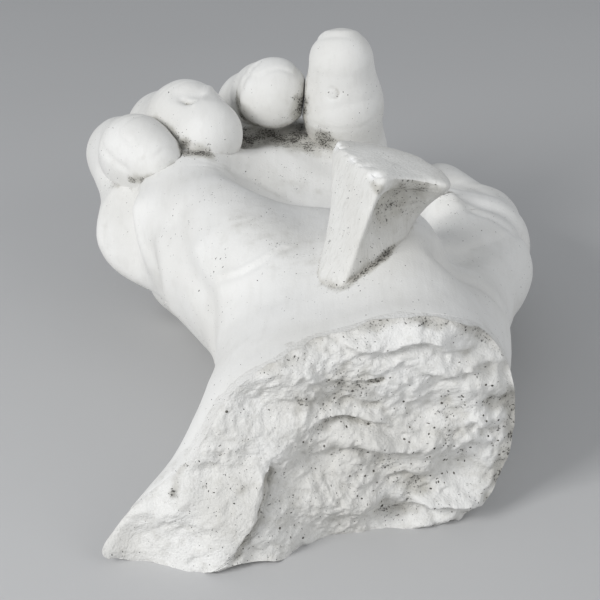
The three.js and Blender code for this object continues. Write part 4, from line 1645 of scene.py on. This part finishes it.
@dataclass
class DigitPiece(Piece):
    """A finger or the thumb, with its nail, its folds and its knuckle wrinkles."""

    digit: Digit = DIGITS[0]
    face_band: float = 0.4
    face_reach: float = 0.6
    fold_depth: float = 0.12
    fold_width: float = 0.9
    fold_span: Pair = (1.9, 1.2)
    fold_wander: Patches = Patches(0.0, 0.6, 5.0, 1, 31)
    fold_facing: Pair = (-0.1, 0.6)
    fold_darkening: float = 0.1
    wrinkle_depth: float = 0.14
    wrinkle_width: float = 0.55
    wrinkle_places: tuple[float, ...] = (-3.2, -1.1, 1.0, 3.1)
    wrinkle_facing: Pair = (0.45, 0.9)
    furrows: tuple[Furrow, ...] = ()

    def build(self, material: bpy.types.Material) -> bpy.types.Object:
        """Makes the digit's mesh.

        Args:
            material: The piece's finish.

        Returns:
            The piece's object.
        """
        mesh = remeshed(self.node, self.voxel)
        points = read_places(mesh)
        past = self.digit.past_face(points)
        root = (np.abs(past) < self.face_band) & (self.digit.off_root(points) < self.face_reach)
        points[root] -= (past[root] + JOINT_LAP)[:, None] * self.digit.face()[1]
        skin = HAND.digit_skin(self.digit)
        share = on_skin(skin, points, read_normals(mesh), self.digit.reach)
        outer = share > 0.0
        places = points[outer]
        slope = slope_of(skin, places, skin(places))
        places = drawn_onto(skin, places, slope)
        places = points[outer] + share[outer, None] * (places - points[outer])
        dirt = np.zeros(len(points))
        dirt[outer] = crevice_grime_and_shade(places, slope, HAND.whole())
        height = skin_lumps(places)
        folds, fold_darkening = self.folds(places, slope)
        nail, nail_dirt = self.nail(places)
        for furrow in self.furrows:
            nearness = furrow.nearness(places)
            folds -= furrow.depth * nearness
            fold_darkening = np.maximum(fold_darkening, furrow.dirt * nearness)
        dirt[outer] = np.maximum.reduce([dirt[outer], fold_darkening, nail_dirt])
        points[outer] = places + (share[outer] * (height + folds + nail))[:, None] * slope
        points[:, 2] = np.maximum(points[:, 2], 0.0)
        write_places(mesh, lift_web(points))
        set_attribute(mesh, "dirt", dirt)
        return self.finish_up(mesh, material)

    def folds(self, points: Points, slope: Points) -> tuple[np.ndarray, np.ndarray]:
        """The folds inside each joint and the wrinkles on its back.

        Args:
            points: The places.
            slope: The way that the skin faces there.

        Returns:
            A height and a share of darkening for each place.
        """
        joints = self.digit.joints()
        hinge = self.digit.hinge()
        outer, inner = self.fold_span
        height = np.zeros(len(points))
        dirt = np.zeros(len(points))
        for before, joint, after, radius in zip(joints, joints[1:], joints[2:], self.digit.radii[1:]):
            along = unit(unit(after - joint) + unit(joint - before))
            facing = slope @ np.cross(hinge, along)
            near = smoothstep(outer * radius, inner * radius, np.linalg.norm(points - joint, axis=1))
            level = (points - joint) @ along + self.fold_wander.at(points)
            fold = near * bell(level, self.fold_width) * smoothstep(*self.fold_facing, facing)
            wrinkles = sum(bell(level - place, self.wrinkle_width) for place in self.wrinkle_places)
            height -= self.fold_depth * fold
            height -= self.wrinkle_depth * near * wrinkles * smoothstep(*self.wrinkle_facing, -facing)
            dirt = np.maximum(dirt, self.fold_darkening * fold)
        return height, dirt

    def nail(self, points: Points) -> tuple[np.ndarray, np.ndarray]:
        """The nail plate, the groove round it and the fold of skin that frames it.

        Args:
            points: The places.

        Returns:
            A height and a share of grime for each place.
        """
        joints = self.digit.joints()
        radius = self.digit.radii[-1]
        along = unit(joints[-1] - joints[-2])
        outward = -np.cross(self.digit.hinge(), along)
        side = np.cross(along, outward)
        local = (points - joints[-1]) / radius
        length = local @ along
        gap = NAIL.from_edge(local @ side, length) * radius
        back = self.digit.nail * smoothstep(*NAIL.facing, local @ outward)
        plate = NAIL.thickness * smoothstep(NAIL.edge, -NAIL.edge, gap)
        fold = NAIL.rim(NAIL.fold, gap) * smoothstep(*NAIL.fold_end, length)
        return back * (plate - NAIL.rim(NAIL.groove, gap) + fold), back * NAIL.rim(NAIL.dirt, gap)


@dataclass
class StrutPiece(Piece):
    """The stub of the support: three bowed sides, one of them scooped, a chipped edge and a smeared foot.

    The corners are at places in the hand's own millimetres, and a bulge runs from foot to top.
    """

    top: tuple = ((7.2, 14.0, 81.0), (19.2, -17.0, 81.0), (38.6, -11.2, 76.3))
    foot: tuple = ((3.4, -13.0, 46.0), (7.2, -21.0, 46.0), (25.5, 24.0, 50.0))
    bulges: tuple = ((1.0, 1.0), (3.0, -4.0), (7.0, 9.0))
    waist: float = 0.12
    levels: int = 84
    steps: int = 64
    crown_rings: int = 30
    crown_rise: float = 0.8
    corner_turns: tuple[int, int] = (8, 40)
    rim_turns: int = 14
    rim_reach: Pair = (9.0, 2.0)
    rim_worn: float = 0.6
    rim_band: Pair = (1.6, 7.0)
    tip: tuple = (34.0, -9.6, 76.8)
    tip_turns: int = 70
    tip_reach: float = 5.0
    tip_worn: float = 0.7
    scoop: float = 3.4
    scoop_rise: Pair = (3.0, 13.0)
    scoop_start: Pair = (0.02, 0.35)
    scoop_end: Pair = (1.0, 0.6)
    flare: float = 3.2
    smear: float = 0.5
    foot_height: float = 5.0
    foot_limit: Pair = (78.0, 70.0)
    edge: Furrow = Furrow(((8.0, 11.0, 81.0), (19.0, -16.5, 81.0)), 0.0, 1.5)
    chips: Patches = Patches(0.3, 1.4, 4.2, 3, 43)
    chip_most: float = 1.2
    chip_depth: float = 1.3
    chip_fresh: Pair = (0.1, 0.5)
    uneven: Patches = Patches(0.0, 0.18, 7.0, 3, 41)
    # the film's least is grime all over; its most is painted shade on the scooped side
    film: Pair = (0.1, 0.52)
    scoop_shade_rise: Pair = (2.0, 10.0)
    foot_dirt: Pair = (0.45, 1.2)

    def build(self, material: bpy.types.Material) -> bpy.types.Object:
        """Makes the stub's mesh.

        Args:
            material: The piece's finish.

        Returns:
            The piece's object.
        """
        walls = np.array([self.ring(share) for share in np.linspace(0.0, 1.0, self.levels)])
        foot, top = walls[0].mean(axis=0), walls[-1].mean(axis=0)
        inwards = np.arange(1, self.crown_rings) / self.crown_rings
        crown = np.array([walls[-1] + share * (top - walls[-1]) for share in inwards])
        crown[:, :, 2] += (self.crown_rise * (1.0 - (1.0 - inwards) ** 2))[:, None]
        top[2] += self.crown_rise
        rings = np.concatenate((walls, crown))
        points = np.concatenate((rings.reshape(-1, 3), (foot, top)))
        mesh = bpy.data.meshes.new(self.node)
        mesh.from_pydata(to_frame(points), [], self.faces(len(rings)))
        mesh.update()
        side = self.scooped_side(len(rings))
        points = points + self.flank(points, side)[:, None] * read_normals(mesh)
        rows = np.append(np.repeat(np.arange(len(rings)), rings.shape[1]), (0, len(rings)))
        worn = self.rim_worn * smoothstep(*self.rim_reach, np.abs(rows - self.levels + 1.0))
        points = smoothed(mesh, points, self.rim_turns, worn)
        from_tip = np.linalg.norm(points - np.array(self.tip), axis=1)
        points = smoothed(mesh, points, self.tip_turns, self.tip_worn * bell(from_tip, self.tip_reach))
        write_places(mesh, points)
        edge = self.edge.nearness(points)
        chips = np.clip(self.chips.at(points), 0.0, self.chip_most) * edge
        height = self.uneven.at(points) - self.chip_depth * chips
        write_places(mesh, points + height[:, None] * read_normals(mesh))
        # the dirt attribute holds grime and the scooped side's painted shade
        set_attribute(mesh, "dirt", self.grime(points, side) * (1.0 - edge))
        set_attribute(mesh, "fresh", smoothstep(*self.chip_fresh, chips))
        return self.finish_up(mesh, material)

    def ring(self, share: float) -> Points:
        """One level of the stub, from 0 at its foot to 1 at its top, with its corners worn round.

        Args:
            share: How far up the level is.

        Returns:
            One place to a row.
        """
        foot, top = np.array(self.foot), np.array(self.top)
        corners = foot + share * (top - foot)
        centre = corners.mean(axis=0)
        corners = centre + (1.0 - self.waist * math.sin(math.pi * share)) * (corners - centre)
        along = np.arange(self.steps)[:, None] / self.steps
        sides = []
        for (low, high), start, end in zip(self.bulges, corners, np.roll(corners, -1, axis=0)):
            out = unit(np.array([end[1] - start[1], start[0] - end[0], 0.0]))
            middle = (start + end) / 2.0 + 2.0 * (low + share * (high - low)) * out
            sides.append((1 - along) ** 2 * start + 2 * along * (1 - along) * middle + along**2 * end)
        ring = np.concatenate(sides)
        low, high = self.corner_turns
        for _ in range(round(low + share * (high - low))):
            ring = 0.5 * ring + 0.25 * (np.roll(ring, 1, axis=0) + np.roll(ring, -1, axis=0))
        return ring

    def faces(self, rings: int) -> list[tuple[int, ...]]:
        """The faces: rings of quads, and a fan at each end.

        Args:
            rings: How many rings of vertices there are.

        Returns:
            The vertices of each face.
        """
        count = len(self.bulges) * self.steps
        foot, top, last = rings * count, rings * count + 1, (rings - 1) * count
        faces: list[tuple[int, ...]] = []
        for n in range(count):
            after = (n + 1) % count
            faces += [(base + n, base + after, base + count + after, base + count + n)
                      for base in range(0, last, count)]
            faces += [(foot, after, n), (top, last + n, last + after)]
        return faces

    def scooped_side(self, rings: int) -> np.ndarray:
        """How much each vertex belongs to the scooped side, from 0 to 1.

        Args:
            rings: How many rings of vertices there are.

        Returns:
            A share for each vertex.
        """
        along = np.arange(self.steps) / self.steps
        weight = np.zeros((rings, len(self.bulges), self.steps))
        weight[:self.levels, 1] = smoothstep(*self.scoop_start, along) * smoothstep(*self.scoop_end, along)
        return np.concatenate((weight.ravel(), (0.0, 0.0)))

    def flank(self, points: Points, side: np.ndarray) -> np.ndarray:
        """How far the sides stand out: one scooped, and all smeared out where they meet the palm.

        Args:
            points: The piece's vertices.
            side: How much each belongs to the scooped side.

        Returns:
            A height for each vertex.
        """
        above = np.maximum(HAND.shell_skin()(points), 0.0)
        level = smoothstep(*self.scoop_rise, above) * smoothstep(*self.rim_band, self.below_top(points))
        foot = bell(above, self.foot_height) * smoothstep(*self.foot_limit, points[:, 2])
        return foot * (self.smear + (self.flare - self.smear) * side) - self.scoop * level * side

    def below_top(self, points: Points) -> np.ndarray:
        """How far each place lies under the plane of the cut top."""
        first, second, third = np.array(self.top)
        return (first - points) @ unit(np.cross(second - first, third - first))

    def grime(self, points: Points, side: np.ndarray) -> np.ndarray:
        """A light film of grime all over, deepened on the scooped side as painted shade that grows darker
        higher up, and grime round the foot and in the marked places.

        Args:
            points: The piece's vertices.
            side: How much each belongs to the scooped side.

        Returns:
            A share for each vertex.
        """
        patches = [patch.dirt * patch.nearness(points) for patch in GRIME]
        above = np.maximum(HAND.shell_skin()(points), 0.0)
        least, most = self.film
        # painted shade: the scooped side, turned from the light, is greyed more the higher it rises
        film = least + most * side * smoothstep(*self.scoop_shade_rise, above)
        most, reach = self.foot_dirt
        return np.maximum.reduce([film, most * bell(above, reach), *patches])


@dataclass
class PlugPiece(Piece):
    """The plug in the wrist, with the broken crust that runs on over the ends of the shells."""

    band_steps: int = 5
    band_floor: float = 0.3
    back_room: float = 1.2
    ring_spread: float = 0.92
    spoke_step: float = 0.75
    edge_calm: float = 0.3
    edge_reach: Pair = (0.0, 5.0)
    marks_sunk: float = 0.6
    marks_limits: Pair = (-2.2, 4.5)
    bite: Patches = Patches(0.5, 0.6, 6.0, 3, 51)
    bite_most: float = 1.3
    chip_depth: Pair = (0.3, 2.5)
    chip_width: Pair = (0.8, 2.2)
    chip_room: float = 0.5
    # the film is grime and painted shade in the face's low places and towards its right
    film: float = 0.72
    film_depth: Pair = (-1.6, 1.4)
    right_shade_side: Pair = (-40.0, 5.0)
    film_patches: Patches = Patches(0.55, 0.45, 12.0, 3, 61)
    slot_dirt: float = 0.95
    slot_depth: Pair = (0.3, 1.3)
    groove_shadow: float = 0.6
    band_dirt: float = 0.05

    def build(self, material: bpy.types.Material) -> bpy.types.Object:
        """Makes the plug and its crust as one mesh.

        Args:
            material: The piece's finish.

        Returns:
            The piece's object.
        """
        crust, dirt = self.crust()
        core = self.core()
        joined = bmesh.new()
        joined.from_mesh(core)
        joined.from_mesh(crust)
        mesh = bpy.data.meshes.new(self.node)
        joined.to_mesh(mesh)
        joined.free()
        set_attribute(mesh, "dirt", np.concatenate((np.zeros(len(core.vertices)), dirt)))
        return self.finish_up(mesh, material)

    def core(self) -> bpy.types.Mesh:
        """The body of the plug behind its crust."""
        mesh = remeshed(self.node, self.voxel)
        points = read_places(mesh)
        across, up, depth = BREAK.flatten(points)
        least = BREAK.main_form(across, up) + BREAK.crust
        write_places(mesh, BREAK.place_at(across, np.maximum(up, 0.0), np.maximum(depth, least)))
        return mesh

    def face_depth(self, across: np.ndarray, up: np.ndarray, skin: Field) -> np.ndarray:
        """The depth of the broken face, with its edge chipped back.

        Args:
            across: How far across the face each place is.
            up: How far up from the ground.
            skin: The field of the shells' skin.

        Returns:
            A depth for each place.
        """
        main = BREAK.main_form(across, up)
        inside = -skin(BREAK.place_at(across, up, main))
        plan = np.column_stack((across, up))
        calm = raised(self.edge_calm, smoothstep(*self.edge_reach, inside))
        bite = np.clip(self.bite.at(plan), 0.0, self.bite_most) * BREAK.toe_calm(across)
        depth, width = (least + more * bite for least, more in (self.chip_depth, self.chip_width))
        chip = depth * bell(np.maximum(inside, 0.0), width)
        stands_out = np.clip(BREAK.chisel_marks(across, up) - self.marks_sunk, *self.marks_limits)
        return main - calm * stands_out + np.minimum(chip, BREAK.crust - self.chip_room)

    def crust(self) -> tuple[bpy.types.Mesh, np.ndarray]:
        """The broken face as a closed crust, and the grime on it.

        Returns:
            The mesh and a number for each of its vertices.
        """
        skin = HAND.shell_skin()
        spokes, rings = BREAK.spokes, BREAK.rings
        angles = np.linspace(0.0, 2.0 * math.pi, spokes, endpoint=False)
        cos, sin = np.cos(angles), np.sin(angles)
        outer = self.outline(cos, sin, skin)
        shares = (np.arange(1, rings + 1) / rings) ** self.ring_spread
        across = BREAK.centre[0] + np.outer(shares, outer * cos)
        up = BREAK.centre[1] + np.outer(shares, outer * sin)
        flat_across, flat_up = across.ravel(), np.maximum(up.ravel(), 0.0)
        depth = self.face_depth(flat_across, flat_up, skin)
        front = BREAK.place_at(flat_across, flat_up, depth)
        thickness = BREAK.crust + self.back_room
        bands = [self.band(front[-spokes:], step * thickness / self.band_steps, skin)
                 for step in range(1, self.band_steps + 1)]
        middle = np.array([BREAK.centre[0]]), np.array([BREAK.centre[1]])
        first = BREAK.place_at(*middle, self.face_depth(*middle, skin))
        last = BREAK.place_at(*middle, BREAK.main_form(*middle) + thickness)
        points = np.concatenate((front, *bands, first, last))
        mesh = bpy.data.meshes.new("crust")
        mesh.from_pydata(to_frame(points), [], self.crust_faces(spokes, rings + self.band_steps))
        mesh.update()
        return mesh, self.crust_dirt(points, len(front))

    def band(self, edge: Points, depth: float, skin: Field) -> Points:
        """The face's edge moved into the hand by a depth, and drawn onto its skin.

        Args:
            edge: The places of the face's edge.
            depth: How far they are moved.
            skin: The field of the shells' skin.

        Returns:
            One place to a row.
        """
        places = edge + depth * BREAK.axes()[2]
        slope = slope_of(skin, places, skin(places))
        floor = (places[:, 2] < self.band_floor) & (places[:, 0] > HAND.toe[0])
        places = drawn_onto(skin, places, slope, floor, 1.0)
        places[:, 2] = np.where(floor, 0.0, np.maximum(places[:, 2], 0.0))
        return places

    def outline(self, cos: np.ndarray, sin: np.ndarray, skin: Field) -> np.ndarray:
        """How far the face reaches along each spoke before it meets the skin or the ground.

        Args:
            cos: How far across each spoke runs.
            sin: How far up.
            skin: The field of the shells' skin.

        Returns:
            A length for each spoke.
        """
        radii = np.arange(0.0, BREAK.reach, self.spoke_step)
        across = BREAK.centre[0] + np.outer(cos, radii)
        up = BREAK.centre[1] + np.outer(sin, radii)
        flat = across.ravel(), up.ravel()
        depth = self.face_depth(*flat, skin)
        held = np.maximum(skin(BREAK.place_at(*flat, depth)), -flat[1]).reshape(across.shape)
        first = np.argmax(held > 0.0, axis=1)
        rows = np.arange(len(first))
        inner, beyond = held[rows, first - 1], held[rows, first]
        return radii[first - 1] + self.spoke_step * inner / (inner - beyond)

    def crust_faces(self, spokes: int, rings: int) -> list[tuple[int, ...]]:
        """The faces of the crust: a fan, rings of quads and a fan at the back.

        Args:
            spokes: How many vertices a ring has.
            rings: How many rings there are.

        Returns:
            The vertices of each face.
        """
        front, back = rings * spokes, rings * spokes + 1
        faces: list[tuple[int, ...]] = []
        for n in range(spokes):
            after = (n + 1) % spokes
            faces.append((front, n, after))
            for ring in range(rings - 1):
                low, high = ring * spokes, (ring + 1) * spokes
                faces.append((low + n, high + n, high + after, low + after))
            last = (rings - 1) * spokes
            faces.append((back, last + after, last + n))
        return faces

    def crust_dirt(self, points: Points, front: int) -> np.ndarray:
        """Grime and painted shade in the low places of the broken face, painted darker towards its right,
        with painted shadow in the groove under the flake's step.

        Args:
            points: The crust's vertices.
            front: How many of them are on the face.

        Returns:
            A share for each vertex.
        """
        across, up, depth = BREAK.flatten(points)
        deep = depth - BREAK.main_form(across, up)
        patches = self.film_patches.at(np.column_stack((across, up)))
        # painted shade: low places darkened, and the face darkened towards the right as the light falls off,
        # over patchy grime
        film = self.film * smoothstep(*self.film_depth, deep) * patches * smoothstep(*self.right_shade_side, across)
        marks = [mark.dirt * mark.nearness(points) for mark in BREAK_GRIME]
        slot = self.slot_dirt * smoothstep(*self.slot_depth, BREAK.slot(across, up))
        # painted shadow in the groove under the flake's step
        groove = self.groove_shadow * BREAK.flake_step(across, up)[1]
        dirt = np.maximum.reduce([film, slot, groove, *marks])
        dirt[front:] = self.band_dirt
        return dirt


@dataclass(frozen=True)
class PitTree:
    """A node tree that scatters small sunken pits of grime over a surface."""

    name: str = "air_pits"
    mask: str = "pits"
    flatness: float = 0.35
    inputs: tuple[tuple[str, str], ...] = (
        ("Density", "NodeSocketFloat"), ("Smallest", "NodeSocketFloat"), ("Largest", "NodeSocketFloat"),
        ("Seed", "NodeSocketInt"), ("Finish", "NodeSocketMaterial"),
    )

    def build(self) -> bpy.types.NodeTree:
        """The tree: points on the faces, a flat pebble on each, made real and given its finish."""
        tree = bpy.data.node_groups.new(self.name, "GeometryNodeTree")
        tree.interface.new_socket("Surface", in_out="INPUT", socket_type="NodeSocketGeometry")
        for name, kind in self.inputs:
            tree.interface.new_socket(name, in_out="INPUT", socket_type=kind)
        tree.interface.new_socket("Pits", in_out="OUTPUT", socket_type="NodeSocketGeometry")
        given = tree.nodes.new("NodeGroupInput").outputs
        mask = tree.nodes.new("GeometryNodeInputNamedAttribute")
        mask.inputs["Name"].default_value = self.mask
        density = tree.nodes.new("ShaderNodeMath")
        density.operation = "MULTIPLY"
        scatter = tree.nodes.new("GeometryNodeDistributePointsOnFaces")
        pebble = tree.nodes.new("GeometryNodeMeshIcoSphere")
        size = tree.nodes.new("FunctionNodeRandomValue")
        size.data_type = "FLOAT_VECTOR"
        flat = tree.nodes.new("ShaderNodeVectorMath")
        flat.operation = "MULTIPLY"
        flat.inputs[1].default_value = (1.0, 1.0, self.flatness)
        place = tree.nodes.new("GeometryNodeInstanceOnPoints")
        real = tree.nodes.new("GeometryNodeRealizeInstances")
        dress = tree.nodes.new("GeometryNodeSetMaterial")
        result = tree.nodes.new("NodeGroupOutput").inputs
        joins = (
            (given["Density"], density.inputs[0]), (mask.outputs["Attribute"], density.inputs[1]),
            (given["Surface"], scatter.inputs["Mesh"]), (density.outputs[0], scatter.inputs["Density"]),
            (given["Seed"], scatter.inputs["Seed"]), (given["Smallest"], size.inputs[0]),
            (given["Largest"], size.inputs[1]), (given["Seed"], size.inputs["Seed"]),
            (size.outputs[0], flat.inputs[0]), (scatter.outputs["Points"], place.inputs["Points"]),
            (pebble.outputs["Mesh"], place.inputs["Instance"]),
            (scatter.outputs["Rotation"], place.inputs["Rotation"]),
            (flat.outputs["Vector"], place.inputs["Scale"]),
            (place.outputs["Instances"], real.inputs["Geometry"]),
            (real.outputs["Geometry"], dress.inputs["Geometry"]),
            (given["Finish"], dress.inputs["Material"]),
            (dress.outputs["Geometry"], result["Pits"]),
        )
        for start, end in joins:
            tree.links.new(start, end)
        return tree


@dataclass(frozen=True)
class Pits:
    """The air pits of one piece, black with grime: how many to a square metre, and their sizes in metres."""

    name: str
    slot: Slot
    density: float
    smallest: float
    largest: float
    seed: int

    def build(self, host: bpy.types.Object, mask: np.ndarray, tree: bpy.types.NodeTree,
              material: bpy.types.Material) -> bpy.types.Object:
        """Scatters the pits over a piece.

        Args:
            host: The piece.
            mask: How many of the pits each of its vertices takes, from 0 to 1.
            tree: The node tree that scatters them.
            material: Their finish.

        Returns:
            The pits as one object.
        """
        surface = link(f"{self.name}_surface", host.data.copy())
        set_attribute(surface.data, PitTree.mask, mask)
        modifier = surface.modifiers.new("pits", "NODES")
        modifier.node_group = tree
        values = {"Density": self.density, "Smallest": self.smallest, "Largest": self.largest,
                  "Seed": self.seed, "Finish": material}
        for socket in tree.interface.items_tree:
            if socket.name in values:
                modifier[socket.identifier] = values[socket.name]
        mesh = evaluated_mesh(surface, self.name)
        bpy.data.objects.remove(surface)
        mesh.shade_smooth()
        obj = link(self.name, mesh)
        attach(obj, BODY)
        log.info("%s: %d faces", obj.name, len(mesh.polygons))
        return obj


BREAK_PITS = Pits("break_pits", Slot.FILL, 110000.0, 0.00008, 0.00042, SEED)
BREAK_PIT_CLUSTERS = Patches(0.0, 1.0, 13.0, 2, 81)
BREAK_PIT_RAMP = (-0.25, 0.75)
BREAK_PIT_SIDE = (-15.0, 12.0)
BREAK_PIT_DEPTH = 1.5
BREAK_PIT_LEAST = (0.25, 0.15)
SKIN_PITS = Pits("skin_pits", Slot.PLASTER, 24000.0, 0.00006, 0.00024, SEED + 1)
SKIN_PIT_CLUSTERS = Patches(0.0, 1.0, 22.0, 2, 83)
SKIN_PIT_RAMP = (0.1, 0.8)
SKIN_PIT_DEPTH = 0.7
SKIN_PIT_LEAST = 0.06


def break_pits_mask(points: Points) -> np.ndarray:
    """Where the broken face is pitted: in clusters, most of them right of the middle.

    Args:
        points: The plug's vertices.

    Returns:
        A share for each vertex.
    """
    across, up, depth = BREAK.flatten(points)
    clusters = smoothstep(*BREAK_PIT_RAMP, BREAK_PIT_CLUSTERS.at(np.column_stack((across, up))))
    front = depth < BREAK.main_form(across, up) + BREAK_PIT_DEPTH
    left, bare = BREAK_PIT_LEAST
    return front * raised(left, smoothstep(*BREAK_PIT_SIDE, across)) * raised(bare, clusters)


def skin_pits_mask(points: Points) -> np.ndarray:
    """Where the skin is pitted: in a few loose clusters."""
    clusters = smoothstep(*SKIN_PIT_RAMP, SKIN_PIT_CLUSTERS.at(points))
    return (HAND.whole()(points) > -SKIN_PIT_DEPTH) * raised(SKIN_PIT_LEAST, clusters)


# The scene


FLOOR_HALF = 3.0
FLOOR_TONES = ((0.53, 0.53, 0.53, 1), (0.56, 0.56, 0.56, 1))
FLOOR_NOISE = (3.0, 2.0)
FLOOR_RAMP = (0.2, 0.8)
FLOOR_ROUGHNESS = 0.9
LAMP_TARGET = (0.0, 0.0, 0.03)
SURROUND_COLOUR = (0.93, 0.96, 1.0, 1.0)
SURROUND_STRENGTH = 0.44
CAMERA_PLACE = (0.0, -346.2, 203.7)
CAMERA_DROP = 25.0
CAMERA_LENS = 90.0
CAMERA_SENSOR = 36.0


def build_floor() -> None:
    """A pale floor that the cast lies on."""
    mesh = bpy.data.meshes.new("floor")
    corners = [(FLOOR_HALF * x, FLOOR_HALF * y, 0) for x, y in ((-1, -1), (1, -1), (1, 1), (-1, 1))]
    mesh.from_pydata(corners, [], [(0, 1, 2, 3)])
    nodes = Nodes("pale_floor")
    tone = nodes.ramp(nodes.noise(*FLOOR_NOISE), *FLOOR_RAMP)
    nodes.set(nodes.shader.inputs["Base Color"], nodes.mix(tone, *FLOOR_TONES))
    nodes.shader.inputs["Roughness"].default_value = FLOOR_ROUGHNESS
    mesh.materials.append(nodes.material)
    link("floor", mesh)


@dataclass(frozen=True)
class Lamp:
    """A soft square lamp, in metres and watts."""

    name: str
    place: Triple
    size: float
    power: float

    def add(self) -> None:
        """Puts the lamp in the scene, turned towards the cast."""
        light = bpy.data.lights.new(self.name, "AREA")
        light.size = self.size
        light.energy = self.power
        lamp = bpy.data.objects.new(self.name, light)
        lamp.location = self.place
        aim = Vector(LAMP_TARGET) - Vector(self.place)
        lamp.rotation_euler = aim.to_track_quat("-Z", "Y").to_euler()
        bpy.context.scene.collection.objects.link(lamp)


LAMPS = (
    Lamp("key", (-0.52, -0.52, 0.42), 0.3, 4.0),
    Lamp("side_fill", (0.8, -0.7, 0.45), 0.8, 2.4),
)


def light_scene() -> None:
    """A soft key from the upper left, a weak fill from the right and an even surround."""
    for lamp in LAMPS:
        lamp.add()
    world = bpy.data.worlds.new("studio")
    world.use_nodes = True
    backdrop = world.node_tree.nodes["Background"]
    backdrop.inputs["Color"].default_value = SURROUND_COLOUR
    backdrop.inputs["Strength"].default_value = SURROUND_STRENGTH
    bpy.context.scene.world = world


def aim_camera() -> None:
    """The photograph's view: low over the broken wrist, along the palm."""
    data = bpy.data.cameras.new("view")
    data.sensor_width = CAMERA_SENSOR
    data.lens = CAMERA_LENS
    camera = bpy.data.objects.new("view", data)
    camera.location = to_frame(np.array(CAMERA_PLACE))
    camera.rotation_euler = (math.radians(90.0 - CAMERA_DROP), 0.0, 0.0)
    bpy.context.scene.collection.objects.link(camera)
    bpy.context.scene.camera = camera


def dress_hidden() -> None:
    """Gives the pieces inside the hand their finishes."""
    finishes = {slot: finish.build() for slot, finish in HIDDEN_FINISHES.items()}
    slots = {part["node"]: Slot(part["material_slot"]) for part in frame["record"]["subparts"]}
    for name, obj in frame["nodes"].items():
        if slots[name] in finishes:
            obj.data.materials.clear()
            obj.data.materials.append(finishes[slots[name]])


def main() -> None:
    """Builds the pieces in order, then the floor, the light and the camera."""
    logging.basicConfig(level=logging.INFO)
    bpy.context.scene.view_settings.view_transform = "Standard"
    plaster, broken = SKIN_PLASTER.build(), BREAK_PLASTER.build()
    dress_hidden()
    palm = Shell("palm_shell", 0.8, furrows=PALM_LINES, seam_lap=-0.5).build(plaster)
    Shell("back_shell", 0.8, seam_lap=0.5).build(plaster)
    for digit in DIGITS:
        lines = DIGIT_LINES[digit.name]
        DigitPiece(digit.node, 0.5, digit=digit, furrows=lines).build(plaster)
    StrutPiece("strut_stub").build(STRUT_PLASTER.build())
    plug = PlugPiece("wrist_plug", 1.2, Slot.FILL).build(broken)
    tree, grime = PitTree().build(), PIT_GRIME.build()
    BREAK_PITS.build(plug, break_pits_mask(read_places(plug.data)), tree, grime)
    SKIN_PITS.build(palm, skin_pits_mask(read_places(palm.data)), tree, grime)
    build_floor()
    light_scene()
    aim_camera()
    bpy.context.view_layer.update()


if __name__ == "__main__":
    main()
